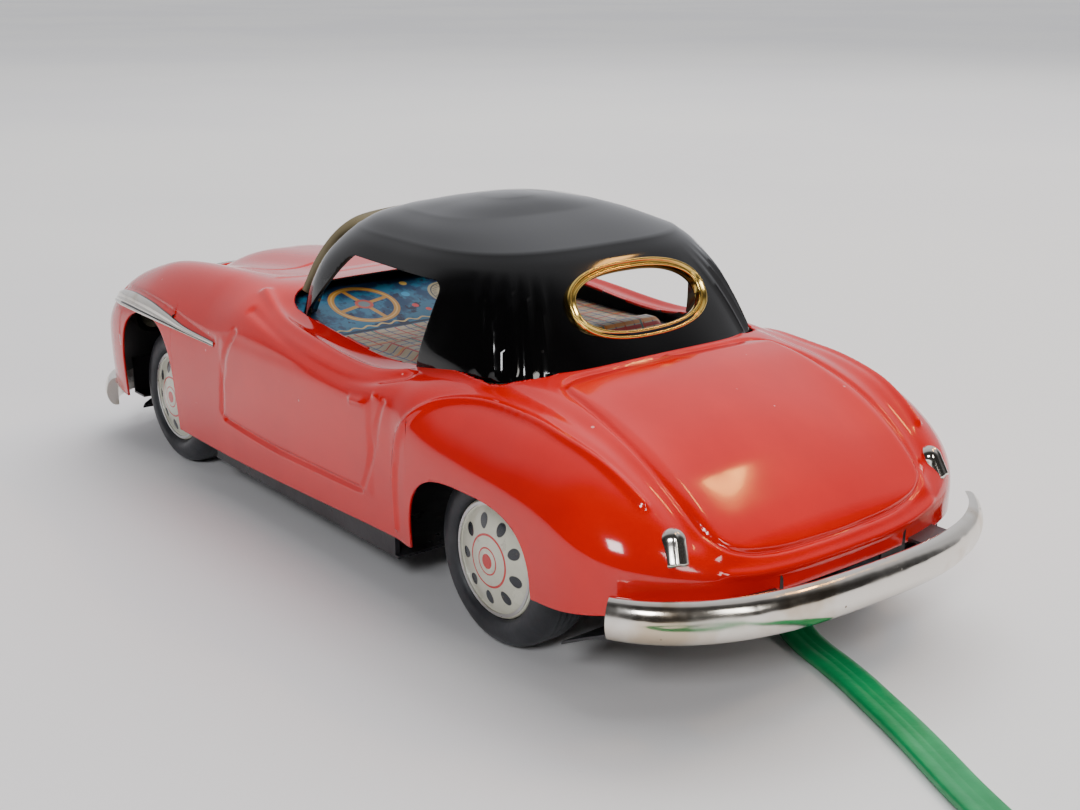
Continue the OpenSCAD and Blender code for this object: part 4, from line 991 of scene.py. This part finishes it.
def bumper(name, node, sign, half_width, z, power, angles, dents, section, offset=0.0, tilt=0.0):
    """A bowed chrome bar with a few soft dents, each [Y, height, length, depth]."""
    w = np.radians(np.linspace(*angles, 150))
    path = np.stack([sign * (BUMPER_X + BUMPER_REACH * spow(np.cos(w), 2 / power)),
                     offset + half_width * spow(np.sin(w), 2 / power), np.full(len(w), float(z))], 1)
    path[:, 2] += tilt * path[:, 1]
    # even spacing along the bar
    s = np.concatenate([[0], np.cumsum(np.linalg.norm(np.diff(path, axis=0), axis=1))])
    u = np.linspace(0, s[-1], 260)
    path = averaged(np.stack([np.interp(u, s, path[:, c]) for c in range(3)], 1), 5)
    up = np.tile(UP, (len(path), 1))
    out = facing_away(side_vectors(path, up), path, [sign * 60, 0, z])
    pts, faces = sweep(path, out, up, section)
    pts = pts.reshape(len(path), len(section), 3)
    section_out, section_height = np.array(section).T
    for at, height, size, depth in dents:
        along = (path[:, 1] - at)[:, None]
        level = section_height[None, :] - height
        amount = depth * np.exp(-(along / size) ** 2 - (level / 1.5) ** 2) * (section_out > -1.0)[None, :]
        pts -= out[:, None, :] * amount[:, :, None]
    add_piece(name, pts.reshape(-1, 3), faces, [CHROME], replaces=(node,), sharp=60)


bumper("rear_bumper_bar", "rear_bumper", -1, 45.0, 18.4, 2.64, (-57, 66),
       [(-24, -1.2, 1.6, 0.30), (-21.5, 0.4, 1.1, 0.16), (6, 1.8, 5, 0.10), (31, 0.5, 3, 0.14)],
       BAR_FACE + BAR_HOLLOW, offset=1.0, tilt=0.015)
bumper("front_bumper_bar", "front_bumper", 1, 43.0, 11.2, 3.8, (-74, 74),
       [(12, 0.8, 3, 0.12), (-28, 0, 3, 0.12)], BAR_FACE)


# ---------------------------------------------------------------- lights and grille
def place(points, at, basis):
    """Local points [x, y, z] set at a place with three unit vectors."""
    return np.asarray(at, float) + np.asarray(points, float) @ np.asarray(basis, float)


def tail_light(side, name, node):
    """A tombstone-shaped chrome lamp: a half-round back with a domed top and an open, slightly torn foot."""
    a, tilt = math.radians(side * 26), math.radians(24)
    back = np.array([-math.cos(a) * math.cos(tilt), math.sin(a) * math.cos(tilt), math.sin(tilt)])
    across = np.array([math.sin(a), math.cos(a), 0])
    up = np.cross(across, back)
    if up[2] < 0:
        up = -up
    pts, rows_n, steps = [], 26, 34
    for i in range(rows_n):
        v = i / (rows_n - 1)
        if v < 0.55:
            h, shrink = lerp(-2.9, 0.7, v / 0.55), 1.0
        else:
            q = (v - 0.55) / 0.45 * math.pi / 2
            h, shrink = 0.7 + 2.1 * math.sin(q), max(math.cos(q), 0.02)
        flare = 1 + 0.06 * max(0, -h / 3.7)
        for j in range(steps):
            b = math.pi * j / (steps - 1)
            ridge = 0.22 * math.exp(-((b - math.pi / 2) / 0.16) ** 2)
            rad = 2.25 * shrink * flare
            depth = (2.3 + ridge) * shrink ** 0.8 * flare
            foot = -0.25 * abs(math.sin(3.3 * b + side)) if i == 0 else 0
            pts.append((rad * math.cos(b), h + foot, depth * abs(math.sin(b)) ** 0.75 - 1.0))
    faces = grid_quads(rows_n, steps)
    world = place(pts, (-91, side * 30.8, 27.6), (across, up, back))
    obj = add_piece(name, world, faces, [CHROME], replaces=(node,), sharp=0,
                    outward=tuple(back))
    give_wall(obj, 0.3)


for side, word in SIDES:
    tail_light(side, f"tail_lamp_{word}", f"tail_light_{word}")

LAMP_AT, LAMP_LEAN, LAMP_SPLAY = (97, 27.5, 29.6), 22, 10
BEZEL_PROFILE = [(5.0, -3), (6.3, -3), (6.55, -2.6), (6.6, 0.6), (6.5, 1.3), (6.2, 1.85), (5.8, 2.1),
                 (5.4, 2.0),
                 (5.1, 1.6), (5.0, 0.8), (5.0, -3)]
LENS_DOME = [(5 * math.cos(a), 0.9 + 2.3 * math.sin(a)) for a in np.linspace(0.12, 1.5, 14)]
LENS_PROFILE = [(0.02, 0.2), (5.05, 0.2), (5.0, 0.9)] + LENS_DOME + [(0.02, 3.2)]
for side, word in SIDES:
    lean, splay = math.radians(LAMP_LEAN), math.radians(side * LAMP_SPLAY)
    axis = (math.cos(splay) * math.cos(lean), math.sin(splay) * math.cos(lean), math.sin(lean))
    at = (LAMP_AT[0], side * LAMP_AT[1], LAMP_AT[2])
    pts, faces = lathe(BEZEL_PROFILE, at, axis, 96)
    add_piece(f"headlamp_bezel_{word}", pts, faces, [CHROME], replaces=(f"headlight_ring_{word}",),
              sharp=50)
    pts, faces = lathe(LENS_PROFILE, at, axis, 96)
    add_piece(f"headlamp_lens_{word}", pts, faces, [LENS], replaces=(f"headlight_lens_{word}",),
              sharp=50)

GRILLE_AT = np.array([102, 0, 27.5])
GRILLE_POWER, GRILLE_STEPS = 2.8, 140
FORWARD = np.array([1.0, 0, 0])
loop_y, loop_z = squared_oval(18.2, 7.7, GRILLE_POWER, GRILLE_STEPS)
path = GRILLE_AT + np.stack([np.zeros(GRILLE_STEPS), loop_y, loop_z], 1)
out_axis = np.tile(FORWARD, (GRILLE_STEPS, 1))
across = facing_away(side_vectors(path, out_axis, closed=True), path, GRILLE_AT)
pts, faces = sweep(path, across, out_axis, [(-0.75, 0), (-0.75, 1.5), (-0.45, 2.1), (0, 2.35), (0.45, 2.1),
                                            (0.75, 1.5), (0.75, 0)], closed=True)
add_piece("grille_surround", pts, faces, [CHROME], replaces=("grille_frame",), sharp=60)


def grille_bar(line, across, section):
    count = len(line)
    return sweep(line, np.tile(across, (count, 1)), np.tile(FORWARD, (count, 1)), section)


UPRIGHT_SECTION = [(-0.32, -0.3), (-0.26, 0.3), (0, 0.45), (0.26, 0.3), (0.32, -0.3)]
CROSSBAR_SECTION = [(-0.9, -0.3), (-0.8, 0.3), (-0.4, 0.55), (0.4, 0.55), (0.8, 0.3), (0.9, -0.3)]
bars = []
for i in range(-9, 10):
    y = i * 1.8
    half = 7.2 * (1 - min(abs(y) / 17.6, 1) ** GRILLE_POWER) ** (1 / GRILLE_POWER)
    bow = 0.35 * np.cos(np.linspace(-1.2, 1.2, 9))
    line = np.stack([102.9 + bow, np.full(9, y), GRILLE_AT[2] + np.linspace(-half, half, 9)], 1)
    bars.append(grille_bar(line, [0, 1.0, 0], UPRIGHT_SECTION))
line = np.stack([np.full(40, 103.3), np.linspace(-17.3, 17.3, 40), np.full(40, GRILLE_AT[2])], 1)
bars.append(grille_bar(line, UP, CROSSBAR_SECTION))
pts, faces = joined(bars)
add_piece("grille_bars", pts, faces, [CHROME], replaces=("grille_mesh",), sharp=50)

# Chrome flash on each front fender: a tapered spear with two raised lines
FLASH_TOP = [[34, 34.9], [47, 35.6], [56.5, 36.9], [66.5, 37.8], [77.3, 37.7], [87, 36.6], [93, 35.2]]
FLASH_LOW = [[34, 33.9], [52, 34.2], [72.5, 34.1], [87, 33.4], [93, 32.8]]
SPEAR_RIDGES = ((0.10, 0.07, 0.30), (0.34, 0.06, 0.22),
                (0.70, 0.24, 0.34))    # [place across, width, height]
xs = np.linspace(34, 93, 150)
v = np.linspace(0, 1, 19)
profile = 0.22 + sum(height * np.exp(-((v - at) / width) ** 2) for at, width, height in SPEAR_RIDGES)
profile[0] = profile[-1] = -0.15


def left_normals(x, t):
    """Outward unit vectors of the body's left side."""
    here, below, ahead = (np.stack(body_point(*at), 1) for at in ((x, t), (x, t + 0.01), (x + 0.5, t)))
    normals = unit(np.cross(ahead - here, below - here))
    return normals * np.sign(normals[:, 1])[:, None]


taper = 0.45 + 0.55 * smoothstep(34, 46, xs)
strips = []
for across, height in zip(v, profile):
    t = t_at(xs, lerp(curve(FLASH_LOW, xs), curve(FLASH_TOP, xs), across))
    strips.append(np.stack(body_point(xs, t), 1) + left_normals(xs, t) * (height * taper)[:, None])
mid_v, mid_x = (v[:-1] + v[1:]) / 2, (xs[:-1] + xs[1:]) / 2
# painted shade: the groove between the two lower ridges and the spear's top edge take black enamel, standing
# in for the shade in these creases
dark = ((mid_v > 0.17) & (mid_v < 0.27) | (mid_v > 0.93))[None, :] & (mid_x < 84)[:, None]
for side, word in SIDES:
    pts = np.array(strips).transpose(1, 0, 2) * [1, side, 1]
    add_piece(f"fender_spear_{word}", pts.reshape(-1, 3), grid_quads(len(xs), len(v)), [CHROME, BLACK],
              face_materials=dark.ravel().astype(int), replaces=(f"fender_flash_{word}",),
              sharp=60, outward=(0, side, 0))

# ---------------------------------------------------------------- wheels
TYRE_RADIUS, TYRE_WIDTH, TYRE_OUT, BEAD_RADIUS = 15.4, 10.6, 38.2, 10.0
DISC_RADIUS, DOME_RADIUS, DOME = 10.2, 9.0, 1.6
TREAD_RIBS = 7


def tyre_profile(inner, outer):
    """[radius, along] from the inner bead over the ribbed tread to the outer bead."""
    profile = [(BEAD_RADIUS, inner + 0.4), (11.4, inner), (13.0, inner + 0.15), (14.3, inner + 0.8),
               (15.1, inner + 1.9), (15.34, inner + 2.9)]
    for k in range(TREAD_RIBS):
        y = lerp(inner + 3.3, outer - 3.3, k / (TREAD_RIBS - 1))
        radius, half = (TYRE_RADIUS, 0.22) if k % 2 == 0 else (15.22, 0.14)
        profile += [(radius, y - half), (radius, y + half)]
    return profile + [(15.34, outer - 2.9), (15.1, outer - 1.9), (14.4, outer - 0.85), (13.3, outer - 0.2),
                      (12.4, outer), (11.5, outer - 0.05), (10.8, outer - 0.35), (10.35, outer - 0.9),
                      (DISC_RADIUS, outer - 1.9)]


def disc_profile(rim):
    """[radius, along] from the rolled edge to the middle of the domed disc."""
    profile = [(10.15, rim - 1.1), (DISC_RADIUS, rim - 0.3), (10.05, rim + 0.05), (9.75, rim + 0.15),
               (9.4, rim + 0.02), (9.1, rim - 0.05)]
    for q in np.linspace(0, 1, 16):
        r = DOME_RADIUS * math.cos(q * math.pi / 2)
        profile.append((max(r, 0.02), rim - 0.02 + DOME * (1 - (r / DOME_RADIUS) ** 2)))
    return profile


def wheel(axle_x, side, end, word):
    centre, axis = (axle_x, 0, AXLE_Z), (0, side, 0)
    inner = TYRE_OUT - TYRE_WIDTH
    bore = [(DISC_RADIUS, TYRE_OUT - 1.9), (BEAD_RADIUS, inner + 0.4)]
    pts, faces = joined([lathe(profile, centre, axis, 144)
                         for profile in (tyre_profile(inner, TYRE_OUT), bore)])
    add_piece(f"tyre_{end}_{word}", pts, faces, [TYRE], body=f"{end}_wheels",
              replaces=(f"{end}_tyre_{word}",),
              origin=centre, sharp=50)
    pts, faces = lathe(disc_profile(TYRE_OUT - 0.95), centre, axis, 144)
    add_piece(f"disc_{end}_{word}", pts, faces, [DISC], body=f"{end}_wheels",
              replaces=(f"{end}_disc_{word}",),
              origin=centre, sharp=50, outward=axis)


for axle_x, end in ((REAR_AXLE_X, "rear"), (FRONT_AXLE_X, "front")):
    for side, word in SIDES:
        wheel(axle_x, side, end, word)

# ---------------------------------------------------------------- printed interior
tray_x = np.concatenate([np.linspace(-46, 6.5, 40), np.linspace(7, 12, 14), np.linspace(12.6, 31.5, 28)])
tray_z = curve([[-46, 38.5], [6.5, 38.5], [9, 38.65], [11.5, 39.4], [28, 44.7], [31.5, 45.6]], tray_x)
TRAY_ROWS = 64
tray_y = np.linspace(-32.3, 32.3, TRAY_ROWS)
X, Y = np.meshgrid(tray_x, tray_y, indexing="ij")
Z = np.repeat(tray_z[:, None], TRAY_ROWS, 1)
SEATS = ((-12, 9.5, 11, 1.4), (-27, 3.2, 11,
                               3.9))      # cushion and back: [X, half length, half width, rise]
for side, _ in SIDES:
    for seat_x, half_x, half_y, rise in SEATS:
        within_x = 1 - smoothstep(half_x - 1.2, half_x + 0.4, np.abs(X - seat_x))
        within_y = 1 - smoothstep(half_y - 1.5, half_y + 0.6, np.abs(Y - side * 14))
        Z = Z + rise * within_x * within_y
Z += 0.12 * np.sin(X / 3.1) * np.cos(Y / 4.3)
tray = add_piece("litho_tray", np.stack([X, Y, Z], 2).reshape(-1, 3), grid_quads(len(tray_x), TRAY_ROWS),
                 [LITHO, STEEL], replaces=("interior_tray", "seat_pressing"), sharp=0,
                 outward=(0, 0, 1))
give_wall(tray, TIN, inner_material=1)

# ---------------------------------------------------------------- carried-over CAD nodes
FINISH = (
    # the body tabs take the near-black painted shade
    (BLACK_SATIN, ["base_plate"]), (INNER_PAINTED_SHADE, ["body_tabs"]),
          (DARK_STEEL, ["bumper_straps", "steering_beam"]),
    (STEEL, ["gearbox_plate_left", "gearbox_plate_right", "gearbox_pillars", "idler_stud", "motor_can",
             "motor_shaft",
             "rear_axle", "rear_wheel_hubs", "steering_rivet", "front_axle", "front_wheel_hubs"]),
    (MAGNET, ["motor_magnets"]), (CAP, ["motor_end_cap"]), (GEAR_BRASS, ["motor_armature", "motor_pinion"]),
    (NYLON, ["idler_gear", "axle_gear"]), (RUBBER, ["motor_leads", "cable_grommet"]))
for material, names in FINISH:
    for name in names:
        NODES[name].data.materials.clear()
        NODES[name].data.materials.append(material)

# ---------------------------------------------------------------- stage and light
mesh = bpy.data.meshes.new("floor")
FLOOR = 9.0
corners = [(-FLOOR, -FLOOR, 0), (FLOOR, -FLOOR, 0), (FLOOR, FLOOR, 0), (-FLOOR, FLOOR, 0)]
mesh.from_pydata(corners, [], [(0, 1, 2, 3)])
mesh.materials.append(floor_material())
floor = bpy.data.objects.new("floor", mesh)
bpy.context.scene.collection.objects.link(floor)

world = bpy.data.worlds.new("studio")
bpy.context.scene.world = world
world.use_nodes = True
nt = world.node_tree
background = nt.nodes["Background"]
coords = nt.nodes.new("ShaderNodeTexCoord")
away = nt.nodes.new("ShaderNodeVectorMath")
away.operation = "DOT_PRODUCT"
nt.links.new(coords.outputs["Generated"], away.inputs[0])
away.inputs[1].default_value = (0.72, -0.57, 0.40)      # towards the pale wall and the ceiling
ramp = nt.nodes.new("ShaderNodeValToRGB")
ramp.color_ramp.interpolation = "EASE"
nt.links.new(away.outputs["Value"], ramp.inputs[0])
ramp.color_ramp.elements[0].position, ramp.color_ramp.elements[0].color = 0.0, (0.035, 0.033, 0.032, 1)
ramp.color_ramp.elements[1].position, ramp.color_ramp.elements[1].color = 1.0, (0.92, 0.93, 0.98, 1)
for position, level in ((0.18, 0.10), (0.45, 0.62)):
    e = ramp.color_ramp.elements.new(position)
    e.color = (level, level, level * 1.03, 1)
nt.links.new(ramp.outputs[0], background.inputs["Color"])
background.inputs["Strength"].default_value = 0.9


def area_light(name, at, target, size, power, tint=(1, 1, 1)):
    data = bpy.data.lights.new(name, "AREA")
    data.shape, data.size, data.size_y = "RECTANGLE", size[0], size[1]
    data.energy, data.color = power, tint
    obj = bpy.data.objects.new(name, data)
    bpy.context.scene.collection.objects.link(obj)
    obj.location = at
    obj.rotation_euler = (Vector(target) - Vector(at)).to_track_quat("-Z", "Y").to_euler()
    return obj


sun = bpy.data.lights.new("ceiling", "SUN")
sun.energy, sun.angle = 1.5, math.radians(70)
sun_obj = bpy.data.objects.new("ceiling", sun)
bpy.context.scene.collection.objects.link(sun_obj)
sun_obj.rotation_euler = (math.radians(24), math.radians(14), 0)
sun_obj.visible_glossy = False
key = area_light("key_soft", (0.25, -0.75, 0.95), (0, 0, 0.02), (1.3, 1.0), 9.0, (1.0, 0.98, 0.96))
key.visible_glossy = False
area_light("warm_lamp", (-0.24, -0.62, 0.80), (-0.09, 0, 0.03), (0.26, 0.035), 0.9, (1.0, 0.50, 0.12))
area_light("fill_soft", (-0.75, 0.85, 0.75), (0, 0, 0.03), (0.28, 0.28), 7.0, (0.97, 0.98, 1.0))
area_light("window", (-0.85, -0.05, 0.42), (-0.04, 0, 0.04), (0.16, 0.30), 1.5, (1.0, 0.97, 0.92))
